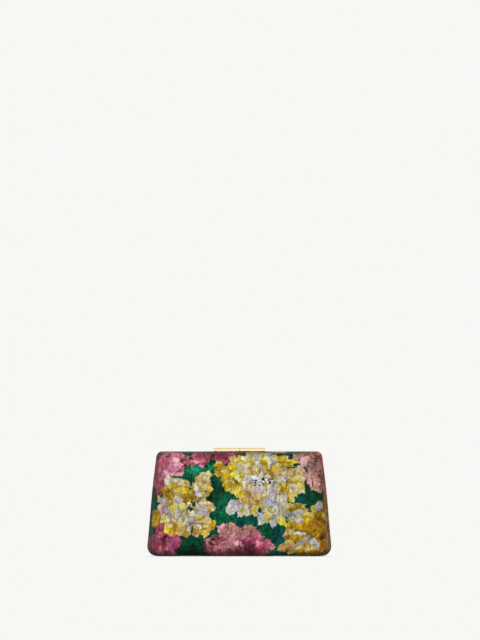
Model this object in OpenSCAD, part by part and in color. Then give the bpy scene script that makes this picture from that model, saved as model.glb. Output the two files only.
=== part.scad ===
// Hard-shell evening purse: two fabric-covered trays in thin brass rims, hinged
// along the bottom, with a pair of rocking bar catches over the top rail.
// X runs along the purse, Y from front (-) to rear (+), Z up from the ground.
// The origin is on the ground, at the middle of the footprint.

/* [Body] */
// Width where the sloping sides would meet the ground
bottom_w = 192; // [180:1:205]
// Width where the sloping sides would meet the top edge
top_w = 170.3; // [160:0.1:180]
// Height of the fabric-covered body
body_h = 107.8; // [100:0.1:116]
// Depth across both halves at the bottom
bottom_d = 50; // [44:1:56]
// Depth across both halves at the top
top_d = 36; // [32:1:40]
// Radius of the bottom corners, seen from the front
corner_bottom = 10; // [9:0.1:12]
// Radius of the top corners, seen from the front
corner_top = 6.4; // [6:0.1:8]
// How far the front face stands in from the sides at the bottom
taper_bottom = 5.0; // [4:0.1:6]
// How far the front face stands in from the sides at the top
taper_top = 3.0; // [2:0.1:4]

/* [Layers] */
// Thickness of the outer fabric with its interlining
cover_t = 1.1; // [0.9:0.05:1.2]
// Thickness of the foam sheet under the fabric
pad_t = 1.7; // [1.2:0.1:1.8]
// Thickness of the moulded tray
shell_t = 1.5; // [1.4:0.05:1.55]
// Thickness of the satin lining with its card
lining_t = 0.8; // [0.6:0.05:0.9]

/* [Rim] */
// How far the rim stands in from the fabric's outline
rim_inset = 1.6; // [1.4:0.05:1.7]
// Wall of the rim's outer band
band_t = 1.0; // [0.9:0.05:1.0]
// Depth of one rim, front to back
rim_d = 3.4; // [3.2:0.05:3.4]
// Width of the rim's flat flange
flange_w = 4.0; // [3.8:0.1:4.4]
// Half of the gap between the two closed rims
half_gap = 0.1; // [0.08:0.01:0.15]

/* [Hinge] */
// Height of the hinge axis above the ground
hinge_z = 1.5; // [1.5:0.05:1.55]
// Distance of each hinge from the middle
hinge_x = 55; // [40:1:65]
// Radius of the hinge knuckles
knuckle_r = 1.35; // [1.3:0.01:1.4]
// Radius of the hinge pins
pin_r = 0.75; // [0.6:0.05:0.8]
// Radial clearance of a running pin
run_gap = 0.05; // [0.03:0.01:0.08]

/* [Clasp] */
// Length of both clasp bars together
clasp_w = 53.4; // [48:0.1:58]
// Depth of the clasp bars, front to back
clasp_d = 9.2; // [9.2:0.1:10]
// Height of the clasp bars
clasp_h = 3.2; // [3.1:0.05:3.4]
// Gap between the two bars at the middle
slit = 0.45; // [0.4:0.05:1]
// Radius of the pin that each bar rocks on
rock_pin_r = 0.5; // [0.4:0.05:0.5]

/* [Pocket] */
// Width of the slip pocket
pocket_w = 104; // [90:1:115]
// Height of the slip pocket
pocket_h = 56; // [45:1:60]

/* [Hidden] */

BROCADE = [0.10, 0.33, 0.22];
FOAM = [0.90, 0.88, 0.80];
SHELL = [0.20, 0.20, 0.21];
SATIN = [0.12, 0.30, 0.22];
GOLD = [0.86, 0.68, 0.34];
STEEL = [0.66, 0.67, 0.68];

// The sloping side: its outward normal in X and Z, its distance from the origin,
// and the angle of the normal above X
side_run = (bottom_w - top_w) / 2;
side_normal = [body_h, side_run] / norm([side_run, body_h]);
side_dist = side_normal[0] * bottom_w / 2;
lean = atan2(side_normal[1], side_normal[0]);

// Rolled corners of a half's face: a round edge swept about a core radius
edge_r_low = 7;
core_r_low = corner_bottom - edge_r_low;
edge_r_top = 5.6;
core_r_top = 1.4;
top_drop = 1.4;  // top of the face below the top of the mouth
sit = 0.05;      // how far the form sinks below the ground
roll_r_top = core_r_top + edge_r_top;
roll_z_top = body_h - top_drop - roll_r_top;

cut_past = 0.2;                     // hollows run this far past a mouth
flange_t = 1.0;
mouth_y = rim_d + half_gap + 0.1;   // mouth of cover, padding and tray
inner_y = half_gap + flange_t + 0.15;  // just behind the rim's flange
tray_back = pad_t + 0.2;            // tray's face, back from the form's face
rim_top = body_h - rim_inset;

// ---- Shared shapes, all for the front half; y is measured forward of the middle ----

function half_w(z) = bottom_w / 2 - side_run * z / body_h;
function corner_centre(inset, r, low) =
  let (z = low ? inset + r : body_h - inset - r)
    [(side_dist - inset - r - side_normal[1] * z) / side_normal[0], z];
function arc(centre, r, start, end, steps = 10) =
  [for (i = [0:steps])
    let (angle = start + (end - start) * i / steps) centre + r * [cos(angle), sin(angle)]];
function flip(points) = [for (i = [len(points) - 1:-1:0]) [-points[i][0], points[i][1]]];
function right_side(inset) =
  let (low_r = max(corner_bottom - inset, 1.5), top_r = max(corner_top - inset, 1.2))
    concat(arc(corner_centre(inset, low_r, true), low_r, -90, lean),
      arc(corner_centre(inset, top_r, false), top_r, lean, 90));
// Outline of a half, seen from the front, standing in from the fabric's edge
function outline(inset) = concat(right_side(inset), flip(right_side(inset)));

module extrude_forward(y0, y1) {
  translate([0, -y0, 0]) rotate([90, 0, 0]) linear_extrude(height = y1 - y0) children();
}
module slab(inset, y0, y1) {
  extrude_forward(y0, y1) polygon(outline(inset));
}
module ring(outer_in, inner_in, y0, y1) {
  extrude_forward(y0, y1) difference() {
    polygon(outline(outer_in));
    polygon(outline(inner_in));
  }
}
// A disc with a round edge, its axis along Y
module roll(x, y, z, core_r, edge_r) {
  translate([x, -y, z]) rotate([90, 0, 0]) rotate_extrude($fn = 32) intersection() {
    translate([core_r, 0]) circle(r = edge_r, $fn = 24);
    translate([0, -edge_r]) square([core_r + edge_r, 2 * edge_r]);
  }
}
// The rolls at the four corners of a half's face
module corner_rolls(low_y, low_z, low_r, top_y, top_r) {
  low_x = half_w(low_z) - taper_bottom - corner_bottom;
  top_x = half_w(roll_z_top) - taper_top - roll_r_top;
  for (s = [-1, 1]) {
    roll(s * low_x, low_y, low_z, core_r_low, low_r);
    roll(s * top_x, top_y, roll_z_top, core_r_top, top_r);
  }
}
// One half as a closed form: the outline at the mouth, blended into rolled edges
// at the face. thin takes from it all round the face, back from the front only.
module form(mouth_in, y0, thin, back = 0) {
  hull() {
    translate([0, 0, mouth_in == 0 ? -sit : 0]) slab(mouth_in, y0, y0 + 0.1);
    corner_rolls(bottom_d / 2 - edge_r_low - back, corner_bottom - sit, edge_r_low - thin,
      top_d / 2 - edge_r_top - back, max(edge_r_top - thin, 0.3));
  }
}
// A cylinder centred on the origin, its axis along X
module x_rod(r, h, fn = 48) {
  rotate([0, 90, 0]) cylinder(r = r, h = h, center = true, $fn = fn);
}
module rear() { mirror([0, 1, 0]) children(); }

// ---- Layers of a half ----

lining_in = 4.0;
lining_mouth_in = 4.4;

module cover_half() {
  color(BROCADE) difference() {
    form(0, mouth_y, 0);
    form(cover_t, mouth_y - cut_past, cover_t);
    // flat foot on the ground
    translate([-150, -60, -5]) cube([300, 120, 5]);
  }
}
module padding_half() {
  pad_r = pad_t / 2 + 0.4;
  pad_in = cover_t + 0.1 + pad_r;
  tray_in = cover_t + 0.03;
  color(FOAM) difference() {
    hull() corner_rolls(bottom_d / 2 - pad_in, corner_bottom, pad_r, top_d / 2 - pad_in, pad_r);
    // its back lies flat on the tray
    form(tray_in, mouth_y, tray_in, tray_back);
  }
}
module shell_half() {
  shell_in = cover_t + 0.15;
  lip_in = rim_inset + band_t;
  color(SHELL) union() {
    difference() {
      form(shell_in, mouth_y, shell_in, tray_back);
      form(cover_t + 2.3, mouth_y - cut_past, shell_in + shell_t, tray_back);
    }
    // lip that stands inside the rim's band
    ring(lip_in + 0.15, lip_in + 1.6, inner_y, mouth_y + 1.4);
  }
}
module lining_half() {
  color(SATIN) difference() {
    form(lining_mouth_in, inner_y, lining_in, tray_back);
    form(lining_mouth_in + lining_t, inner_y - cut_past, lining_in + lining_t, tray_back);
  }
}
// A flat pocket that follows the lean of the rear lining, open at the top
module pocket() {
  tilt = atan2((bottom_d - top_d) / 2, body_h - top_drop - edge_r_top - edge_r_low);
  base_y = bottom_d / 2 - cover_t - pad_t - lining_t - 3.45;
  base_z = 16;
  border = 1.2;
  depth = 2.2;
  panel_t = 0.8;
  front_y = -2.6;
  color(SATIN) translate([0, base_y, 0]) rotate([tilt, 0, 0]) translate([0, 0, base_z])
    difference() {
      translate([-pocket_w / 2, front_y, 0]) cube([pocket_w, depth, pocket_h]);
      translate([-pocket_w / 2 + border, front_y + panel_t, border])
        cube([pocket_w - 2 * border, 5, pocket_h]);
    }
}

// ---- Hinges ----

knuckle_l = 6.4;
knuckle_gap = 0.2;
leaf_l = 20;
leaf_z = 0.65;
leaf_t = 0.88;
rivet_x = 7;     // from the middle of a hinge
rivet_y = 2.45;
rivet_r = 0.6;
head_r = 0.9;
head_t = 0.2;    // of the head's cone, and of its disc

module at_hinges() { for (s = [-1, 1]) translate([s * hinge_x, 0, 0]) children(); }
module at_rivets() { for (k = [-1, 1]) translate([k * rivet_x, -rivet_y, 0]) children(); }

// Leaves of both hinges; ends = true gives the outer knuckles, false the middle one
module leaves(ends) {
  pitch = knuckle_l + knuckle_gap;
  knuckle_xs = ends ? [-pitch, pitch] : [0];
  bore_r = ends ? pin_r : pin_r + run_gap;
  web_d = 2.2;
  color(GOLD) at_hinges() difference() {
    union() {
      translate([-leaf_l / 2, -half_gap - rim_d + 0.05, leaf_z])
        cube([leaf_l, rim_d - 1.5, leaf_t]);
      for (x = knuckle_xs) {
        translate([x, 0, hinge_z]) x_rod(knuckle_r, knuckle_l, 64);
        // web from the knuckle to the plate
        translate([x - knuckle_l / 2, -web_d, leaf_z]) cube([knuckle_l, web_d, leaf_t]);
      }
    }
    translate([0, 0, hinge_z]) x_rod(bore_r, leaf_l + 4, 64);
    at_rivets() cylinder(r = rivet_r, h = 3, $fn = 32);
  }
}
// Rivets through the leaves and the rims' bottom rail, heads down
module rivets_low() {
  shank_z = leaf_z - 0.05;
  color(GOLD) at_hinges() at_rivets() union() {
    translate([0, 0, leaf_z - 2 * head_t]) cylinder(r1 = rivet_r, r2 = head_r, h = head_t, $fn = 32);
    translate([0, 0, leaf_z - head_t]) cylinder(r = head_r, h = head_t, $fn = 32);
    translate([0, 0, shank_z]) cylinder(r = rivet_r, h = rim_inset + band_t - shank_z, $fn = 32);
  }
}
module pins() {
  color(STEEL) at_hinges() translate([0, 0, hinge_z]) x_rod(pin_r, leaf_l - 0.6, 64);
}

// ---- Rims and catches; side is 1 for the +X bar and -1 for the -X bar ----

clasp_z = body_h + 0.38;
clasp_top = clasp_z + clasp_h;
bar_l = (clasp_w - slit) / 2;
bar_x = (slit + bar_l) / 2;  // middle of a bar
rock_y = 2.4;                // axis a bar rocks on
rock_z = clasp_top - 2.1;
catch_x = 13.5;              // middle of the ears, spring, nub and dimple
ear_xs = [catch_x - 7.9, catch_x + 7.9];
ear_r = 1.05;
ear_w = 2;
ear_sink = 0.5;              // depth of an ear's foot in the rim
nub_y = 2.1;
nub_z = rim_top + 0.75;
nub_r = 0.95;
dimple_r = 1.2;
spring_w = 10;
spring_t = 0.22;
spring_z = rim_top + 0.03;
spring_rivet_y = 1.3;
spring_rivet_r = 0.45;

module spring_shank(side, z, h) {
  translate([side * catch_x, -spring_rivet_y, z]) cylinder(r = spring_rivet_r, h = h, $fn = 32);
}
module rim_half() {
  difference() {
    union() {
      ring(rim_inset, rim_inset + band_t, half_gap, half_gap + rim_d);
      ring(rim_inset, rim_inset + flange_w, half_gap, half_gap + flange_t);
    }
    at_hinges() {
      // room for the knuckles
      translate([0, 0, hinge_z]) x_rod(knuckle_r + 0.2, leaf_l + 0.6);
      // rivet holes in the bottom rail
      at_rivets() cylinder(r = rivet_r, h = 2.9, $fn = 32);
    }
  }
}
// A rim with two ears for its own bar, and the dimple for the other bar's nub
module rim_with_ears(side) {
  color(GOLD) difference() {
    union() {
      rim_half();
      for (x = ear_xs) translate([side * x, 0, 0]) {
        translate([0, -rock_y, rock_z]) x_rod(ear_r, ear_w);
        translate([-ear_w / 2, -rock_y - ear_r, rim_top - ear_sink])
          cube([ear_w, 2 * ear_r, rock_z - rim_top + ear_sink]);
      }
    }
    for (x = ear_xs) translate([side * x, -rock_y, rock_z])
      x_rod(rock_pin_r + run_gap, 2 * ear_w);
    spring_shank(side, rim_top - 1.2, 2);
    translate([-side * catch_x, -nub_y, nub_z]) sphere(r = dimple_r, $fn = 48);
  }
}
// A shallow inverted tray with a pin bore and a detent nub
module clasp_bar(side) {
  start_x = side * bar_x - bar_l / 2;
  edge_r = 0.8;
  end_t = 1.5;
  wall_t = 0.85;
  roof_t = 0.8;
  color(GOLD) difference() {
    union() {
      difference() {
        intersection() {
          translate([start_x, 0, 0]) rotate([90, 0, 90]) linear_extrude(height = bar_l) union() {
            translate([-clasp_d / 2, clasp_z]) square([clasp_d, clasp_h - edge_r]);
            translate([-clasp_d / 2 + edge_r, clasp_z]) square([clasp_d - 2 * edge_r, clasp_h]);
            for (k = [-1, 1]) translate([k * (clasp_d / 2 - edge_r), clasp_top - edge_r])
              circle(r = edge_r, $fn = 48);
          }
          translate([start_x, -clasp_d / 2, clasp_z]) cube([bar_l, clasp_d, clasp_h]);
        }
        translate([start_x + end_t, -clasp_d / 2 + wall_t, clasp_z - 1])
          cube([bar_l - 2 * end_t, clasp_d - 2 * wall_t, clasp_h - roof_t + 1]);
      }
      // detent post, ending in a round nub
      translate([side * catch_x, nub_y, nub_z]) {
        cylinder(r = nub_r, h = clasp_top - 0.5 - nub_z, $fn = 40);
        sphere(r = nub_r, $fn = 40);
      }
    }
    translate([side * bar_x, -rock_y, rock_z]) x_rod(rock_pin_r, bar_l - 0.8);
  }
}
module catch_pin(side) {
  color(STEEL) translate([side * bar_x, -rock_y, rock_z]) x_rod(rock_pin_r, bar_l - 1.0);
}
// A bent flat spring that pushes up on the outer side of a bar
module catch_spring(side) {
  foot_top = spring_z + spring_t;
  tip_z = clasp_top - 1.05;
  // Y and Z round the section: along the foot, up the arm, and back inside
  section = [
    [-0.5, spring_z], [-3.35, spring_z], [-3.4, spring_z + 0.3],
    [-3.4, tip_z - 0.25], [-3.3, tip_z], [-3.15, tip_z], [-3.18, tip_z - 0.3],
    [-3.18, foot_top + 0.1], [-3.1, foot_top], [-0.5, foot_top]];
  color(STEEL) difference() {
    translate([side * catch_x - spring_w / 2, 0, 0]) rotate([90, 0, 90])
      linear_extrude(height = spring_w) polygon(section);
    spring_shank(side, spring_z - 1, 2);
  }
}
module spring_rivet(side) {
  color(STEEL) union() {
    spring_shank(side, rim_top - band_t, band_t + 0.4);
    translate([side * catch_x, -spring_rivet_y, spring_z + spring_t + 0.01])
      cylinder(r1 = 0.75, r2 = 0.55, h = 0.28, $fn = 32);
  }
}

cover_half();  // front_cover
padding_half();  // front_padding
shell_half();  // front_shell
lining_half();  // front_lining
rim_with_ears(-1);  // front_rim
leaves(false);  // front_hinge_leaves
rivets_low();  // front_hinge_rivets
catch_spring(-1);  // front_catch_spring
spring_rivet(-1);  // front_spring_rivet
clasp_bar(-1);  // front_clasp_bar
catch_pin(-1);  // front_catch_pin
rear() cover_half();  // rear_cover
rear() padding_half();  // rear_padding
rear() shell_half();  // rear_shell
rear() lining_half();  // rear_lining
pocket();  // slip_pocket
rear() rim_with_ears(1);  // rear_rim
rear() leaves(true);  // rear_hinge_leaves
rear() rivets_low();  // rear_hinge_rivets
pins();  // hinge_pins
rear() catch_spring(1);  // rear_catch_spring
rear() spring_rivet(1);  // rear_spring_rivet
rear() clasp_bar(1);  // rear_clasp_bar
rear() catch_pin(1);  // rear_catch_pin
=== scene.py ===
import bpy
import math
from dataclasses import dataclass
from types import SimpleNamespace
import numpy as np
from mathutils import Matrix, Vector


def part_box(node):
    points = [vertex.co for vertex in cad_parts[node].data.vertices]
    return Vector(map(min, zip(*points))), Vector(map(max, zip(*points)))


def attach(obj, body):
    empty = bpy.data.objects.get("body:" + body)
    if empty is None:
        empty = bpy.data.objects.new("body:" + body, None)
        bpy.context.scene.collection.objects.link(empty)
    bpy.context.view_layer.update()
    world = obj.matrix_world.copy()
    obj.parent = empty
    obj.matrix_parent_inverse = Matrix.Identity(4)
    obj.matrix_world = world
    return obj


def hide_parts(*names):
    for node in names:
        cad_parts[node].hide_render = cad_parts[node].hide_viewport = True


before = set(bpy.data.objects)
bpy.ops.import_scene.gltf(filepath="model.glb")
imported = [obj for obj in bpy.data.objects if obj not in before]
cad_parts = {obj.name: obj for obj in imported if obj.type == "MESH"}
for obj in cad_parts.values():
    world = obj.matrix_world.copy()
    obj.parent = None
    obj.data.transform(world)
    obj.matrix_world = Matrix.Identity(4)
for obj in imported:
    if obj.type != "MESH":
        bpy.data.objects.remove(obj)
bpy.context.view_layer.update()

# ---- the purse's form, as the CAD draws it ---------------------------------
cover_low, cover_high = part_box("front_cover")
BOTTOM_W, TOP_W = 192.0, 170.3
BODY_H = round(cover_high.z * 1000, 2)
BOTTOM_D = round(-cover_low.y * 2000, 2)
TOP_D = 36.0
CORNER_LOW, CORNER_TOP = 10.0, 6.4             # corner radii of the mouth
TAPER_LOW, TAPER_TOP = 5.0, 3.0                # how far the face's edge lies in from the mouth
MOUTH = round(-cover_high.y * 1000, 2)
ROLL_LOW, ROLL_TOP = (3.0, 7.0), (1.4, 5.6)    # major and minor radius of the edge rolls
TOP_DROP = 1.4
SIDE_RUN = (BOTTOM_W - TOP_W) / 2
SIDE_LENGTH = math.hypot(SIDE_RUN, BODY_H)
SIDE_NX, SIDE_NZ = BODY_H / SIDE_LENGTH, SIDE_RUN / SIDE_LENGTH    # the right side's outward normal
SIDE_OFFSET = SIDE_NX * BOTTOM_W / 2
LEAN = math.degrees(math.atan2(SIDE_RUN, BODY_H))
PATTERN_TOP = 108.0                            # the rear pattern is turned over within this height
TURN_IN = 0.45                                 # radius of the cover's edge, turned in at the mouth
FLOOR = 0.00004                                # metres: nothing of the covers lies lower

# the linings and what holds them off the covers
LINING_GAP, LINING_ROLL_GAP, LINING_T = 4.4, 4.0, 0.8
LINING_BACK, LINING_MOUTH = 1.9, 1.25

# the foam sheets
FOAM_IN, FOAM_T = 1.25, 1.62
FOAM_STEP = 0.25                               # outward step of each ring of the skived edge
FOAM_EDGE = (0.35, 0.9, 1.25)                  # drop of each ring of the skived edge

# the slip pocket
POCKET_H, POCKET_T, POCKET_FOOT = 56.0, 0.378, 16.0
POCKET_SETBACK = 7.05                          # from the rear face's lowest part to the pocket's plane
POCKET_HEM = 5.0                               # hem line below the open top
POCKET_SEAM = 1.3                              # seam line in from the sewn edges


# ---- numbers and noise -----------------------------------------------------
def ramp(start, end, value):
    """A smooth step from 0 at start to 1 at end; start may be the larger."""
    t = np.clip((value - start) / (end - start), 0, 1)
    return t * t * (3 - 2 * t)


def bell(value, reach):
    return np.exp(-(value / reach) ** 2)


def blend(a, b, share):
    """Colours a moved towards b, point by point."""
    return a + (b - a) * share[:, None]


def colour(red, green, blue):
    return np.array([red, green, blue]) / 255.0


def linear(c):
    """Display colour to the renderer's linear colour."""
    return np.where(c <= 0.04045, c / 12.92, ((c + 0.055) / 1.055) ** 2.4)


def hash01(column, row, seed):
    n = (column.astype(np.int64) * 374761393 + row.astype(np.int64) * 668265263
         + np.int64(seed) * 974634777) & 0xFFFFFFFF
    n = ((n ^ (n >> 13)) * 1274126177) & 0xFFFFFFFF
    n = ((n ^ (n >> 15)) * 2246822519) & 0xFFFFFFFF
    n = n ^ (n >> 16)
    return (n & 0xFFFFFF) / float(0x1000000)


def noise(x, y, seed):
    """Smooth value noise, -1 to 1, one feature per unit."""
    def ease(f):
        return f * f * f * (f * (f * 6 - 15) + 10)

    column, row = np.floor(x), np.floor(y)
    ux, uy = ease(x - column), ease(y - row)
    column, row = column.astype(np.int64), row.astype(np.int64)
    a, b = hash01(column, row, seed), hash01(column + 1, row, seed)
    c, d = hash01(column, row + 1, seed), hash01(column + 1, row + 1, seed)
    return 2 * ((a * (1 - ux) + b * ux) * (1 - uy) + (c * (1 - ux) + d * ux) * uy) - 1


def fbm(x, y, seed, octaves=3):
    """Noise summed over octaves, each twice as fine and half as strong as the last."""
    total, strength, norm = 0, 1.0, 0.0
    for k in range(octaves):
        total = total + strength * noise(x * 2 ** k + 17.3 * k, y * 2 ** k - 9.1 * k, seed + 31 * k)
        norm += strength
        strength *= 0.5
    return total / norm


def cells(x, y, seed):
    """Jittered cells, one per unit: distance to the nearest edge, and each cell's own number."""
    jitter = 0.85
    column, row = np.floor(x).astype(np.int64), np.floor(y).astype(np.int64)
    near = np.full(x.shape, 9.0)
    centre_x, centre_y, number = np.zeros(x.shape), np.zeros(x.shape), np.zeros(x.shape)
    points = []
    for dx in range(-2, 3):
        for dy in range(-2, 3):
            jx, jy = column + dx, row + dy
            px = jx + 0.5 + jitter * (hash01(jx, jy, seed) - 0.5)
            py = jy + 0.5 + jitter * (hash01(jx, jy, seed + 7) - 0.5)
            points.append((px, py))
            distance = np.hypot(px - x, py - y)
            better = distance < near
            near = np.where(better, distance, near)
            centre_x, centre_y = np.where(better, px, centre_x), np.where(better, py, centre_y)
            number = np.where(better, hash01(jx, jy, seed + 13), number)
    edge = np.full(x.shape, 9.0)
    for px, py in points:
        vx, vy = px - centre_x, py - centre_y
        length = np.hypot(vx, vy)
        other = length > 1e-6
        length = np.where(other, length, 1.0)
        e = ((centre_x + px) / 2 - x) * vx / length + ((centre_y + py) / 2 - y) * vy / length
        edge = np.where(other, np.minimum(edge, e), edge)
    return edge, number


# ---- tables of the floral pattern --------------------------------------------
def rows(text):
    """Reads a table: rows end in commas, words become numbers or names, a dash is None."""
    def value(word):
        if word == "-":
            return None
        return float(word) if word[-1].isdigit() else word

    return [[value(word) for word in row.split()] for row in text.split(",")]


# name, red, green, blue
PALETTE = {name: colour(*parts) for name, *parts in rows("""
    yellow 214 188 78, bright 236 210 84, golden 190 158 50, mustard 156 128 40, olive 188 172 70,
    bronze 134 110 42, brown 98 76 34, pale 230 214 146, cream 226 212 178, ivory 216 207 196,
    white 236 230 222, lavender 198 193 200, dusk 186 168 174, violet 178 170 194,
    bluegrey 178 180 192, blush 212 192 182, grey 170 168 166, orange 206 160 68,
    peach 216 184 132, beige 196 166 128, orchid 194 92 138, pink 210 122 138, light 236 170 182,
    hot 208 106 128, mauve 196 136 154, magenta 176 88 124, plum 116 52 74, rose 172 94 102,
    wine 98 44 54, salmon 188 145 138, pearl 214 182 170, tan 176 140 114, rust 140 92 86""")}

# Lighter and bluer places in the ground: colour, least share, greatest share,
# and spots as (x, z, half width, half height, strength)
GLOWS = [
    (colour(82, 166, 134), 0.75, 0.95, [(-46, 89, 12, 8, 1.0), (-29, 92, 6, 6, 0.7)]),
    (colour(66, 138, 112), 0.8, 0.9,
     [(-21, 80, 5, 10, 0.75), (-20, 33, 5, 6, 0.6), (-14, 62, 6, 8, 0.5)]),
    (colour(30, 96, 122), 0.4, 0.6, [(-28, 80, 5, 4, 0.6), (60, 58, 6, 3, 0.6), (44, 27, 7, 6, 0.5)]),
]

# A blossom: the heart its petals spread from, its petals' length and width, and whether it is soft.
# area: where petals may grow, as x, z, half width, half height, turn in degrees.
# tones: where each colour is strongest, as x, z, reach, colour.
# strokes: colours brushed through the petals in its upper part, where given.
BLOSSOMS = [
    dict(seed=11, heart=(-70, 92), size=(10.5, 8.5), soft=1, edge="light",
         area=rows("-71 95 18 17 0, -56 98 9 8 0, -82 73 8 14 8, -93 92 11 20 0, -74 112 14 8 0"),
         tones=rows("""-81 95 6 pink, -76 100 6 pink, -72 105 6 light, -67 90 8 light,
            -60 89 6 light, -75 89 5 mauve, -78 85 6 light, -64 83 6 light, -58 97 5 rose,
            -51 97 5 rust, -80 74 6 rose, -82 67 6 rose, -86 80 5 pink, -66 102 5 pink,
            -83 92 4 hot, -70 96 5 mauve, -94 90 8 rose, -92 78 6 rust, -92 100 6 wine,
            -70 113 6 rust, -88 88 5 rose""")),
    dict(seed=12, heart=(-38, 106), size=(9, 7.5), soft=1, edge="light",
         area=rows("-39.5 101.5 10.5 9.5 0, -37 95 5.5 6 0, -36 112 14 8 0"),
         tones=rows("""-42 102 5 rose, -39 96 4 light, -34 103 5 rose, -44 105 5 pink,
            -36 112 8 wine""")),
    dict(seed=13, heart=(-14, 108), size=(10, 7), soft=1, edge="pink",
         area=rows("-26 105 12 5 0, -12 103 15 7.5 0, -14 113 20 8 0"),
         tones=rows("""-27 105 6 rust, -18 102 6 magenta, -10 103 6 magenta, -4 105 6 rose,
            -14 113 9 wine""")),
    dict(seed=16, heart=(72, 94), size=(12, 9.5), soft=1, edge="pearl",
         area=rows("""71 95 17 16 -10, 58 104 9 6 0, 76 78 9.5 14 8, 82 67 7 9 0, 92 88 11 30 0,
            76 112 20 8 0"""),
         tones=rows("""57 104 4 rust, 59.5 99 5 pearl, 70 103 6 salmon, 78 104 6 rust,
            73.5 93.5 3.5 rust, 68 92 4 pearl, 78 96 5 salmon, 70 87 5 pearl, 77 86 5 salmon,
            64 90 4 pearl, 79 78 6 salmon, 72 80 5 salmon, 81 69 6 tan, 84 86 5 salmon,
            86 96 6 pink, 92 80 9 rust, 94 100 7 rose, 76 113 9 rust, 84 104 5 pink""")),
    dict(seed=20, heart=(-80, 10), size=(11.5, 9), soft=1, edge="mauve",
         area=rows("""-81 12 20 17 0, -80 28 7.5 9 0, -66 19 8.5 9.5 0, -97 8 11 17 0,
            -80 -8 24 14 0"""),
         tones=rows("""-81 28 5 magenta, -84 22 4 mauve, -68 18 5 orchid, -63 22 5 orchid,
            -62 14 4 mauve, -87 14 6 rose, -76 12 6 mauve, -81 6 6 rose, -71 8 6 mauve,
            -90 8 5 rose, -76 18 3 plum, -97 8 8 rust, -80 -6 9 rust, -70 14 5 orchid""")),
    dict(seed=19, heart=(0, 0), size=(11, 9), soft=1, edge="light",
         area=rows("""-1 9.5 38 17 0, -9 25 12.5 12 0, 7 28.2 9.0 7.6 0, 17 18.5 9.5 8 0,
            29.5 10 9 7 0, -2 -8 36 14 0"""),
         tones=rows("""-12.5 33 4 light, -6 27 5 tan, -17 22 6 salmon, -29 19.5 5 light,
            -12.5 16.5 6 salmon, -3 17.5 6 salmon, -21 15 5 rust, -20 10 5 mauve, -34 6 6 mauve,
            4.5 29 5 tan, 9 27 5 salmon, 8 33 5 salmon, 1.5 17.5 6 light, 12.5 12 5 magenta,
            21 20.5 5 pink, 29.5 12 5 light, 36 9 4 light, 8 8 5 plum, 17.5 8 6 pink,
            26 7 6 rose, -6 8 6 mauve, -27 5 6 rust, 0 -6 12 rust, -14 6 6 pink,
            3 22 5 salmon""")),
    dict(seed=18, heart=(64, 20), size=(13, 10), soft=0, edge="yellow",
         strokes=("pale", "olive", "brown", "bronze"),
         area=rows("""70 26 24 22 0, 84 40 12 14 0, 58 9 16 9 8, 76 6 22 12 0, 98 31 12 35 0,
            76 -8 24 14 0"""),
         tones=rows("""56 30 7 mustard, 60 21 7 golden, 76 34 7 golden, 86 24 8 mustard,
            84 8 6 orange, 51 8 6 cream, 88 10 7 golden, 84 42 6 bronze, 68 10 5 grey,
            60 13 6 golden, 98 26 10 mustard, 97 44 6 bronze, 76 -6 10 mustard,
            92 34 6 mustard""")),
    dict(seed=14, heart=(-49, 51), size=(14, 11), soft=0, edge="cream",
         area=rows("""-55 46 27 25 0, -68 72 12 12 -5, -38.5 69.5 11.5 11.5 0, -34 34 13 11 0,
            -76 52 9 14 0, -52 30 16 11 0"""),
         tones=rows("""-71 76 7 ivory, -60 75 6 bright, -64 67 7 yellow, -75 66 5 mustard,
            -54 62 6 mustard, -63 56 5 lavender, -77 56 5 dusk, -70 58 5 golden,
            -59 44 6 lavender, -39 46 6 lavender, -46 38 6 ivory, -70 29 6 bright,
            -76 38 5 pale, -40 27 5 orange, -33 32 8 bright, -38 36 5 cream, -60 32 6 cream,
            -30 50 4 beige, -67 47 5 yellow, -33 70 5 cream, -43 78 5 golden""")),
    dict(seed=15, heart=(24, 76), size=(14.5, 11), soft=0, edge="cream",
         area=rows("""26 84 38 28 0, -7 86 15.5 14 0, -2 74 12 12 0, 10 58 13 13 0, 36 56 16 18 0,
            60 46 17 9 -12, 54 80 13 18 0, 26 112 24 9 0, 8 97 10 8 0"""),
         tones=rows("""-17 86 7 golden, -4 74 7 golden, -8 88 7 golden, 4 88 7 cream,
            -3 97 6 yellow, 12 100 6 yellow, 18 103 5 lavender, 23 104 5 olive,
            36 99 6 lavender, 43 100 5 golden, 28 98 5 golden, 10 74 6 lavender, 20 66 6 blush,
            30 85 6 golden, 40 89 6 orange, 51 82 5 lavender, 58 84 5 orange, 61 71 6 bright,
            51 95 6 golden, 46 64 6 golden, 40 77 5 dusk, 36 58 6 lavender, 33 66 5 ivory,
            6 58 6 golden, 22 55 6 mustard, 12 52 6 beige, 44 57 5 ivory, 56 49 5 golden,
            2 67 6 yellow, 63 44 5 white, 70 42 5 cream, 23 41 6 lavender, 30 43 5 cream,
            35 37 5 grey, 43 38 5 bright, 48 46 6 grey, 56 42 5 lavender, 26 112 9 mustard,
            55 60 5 bright""")),
]

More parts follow.
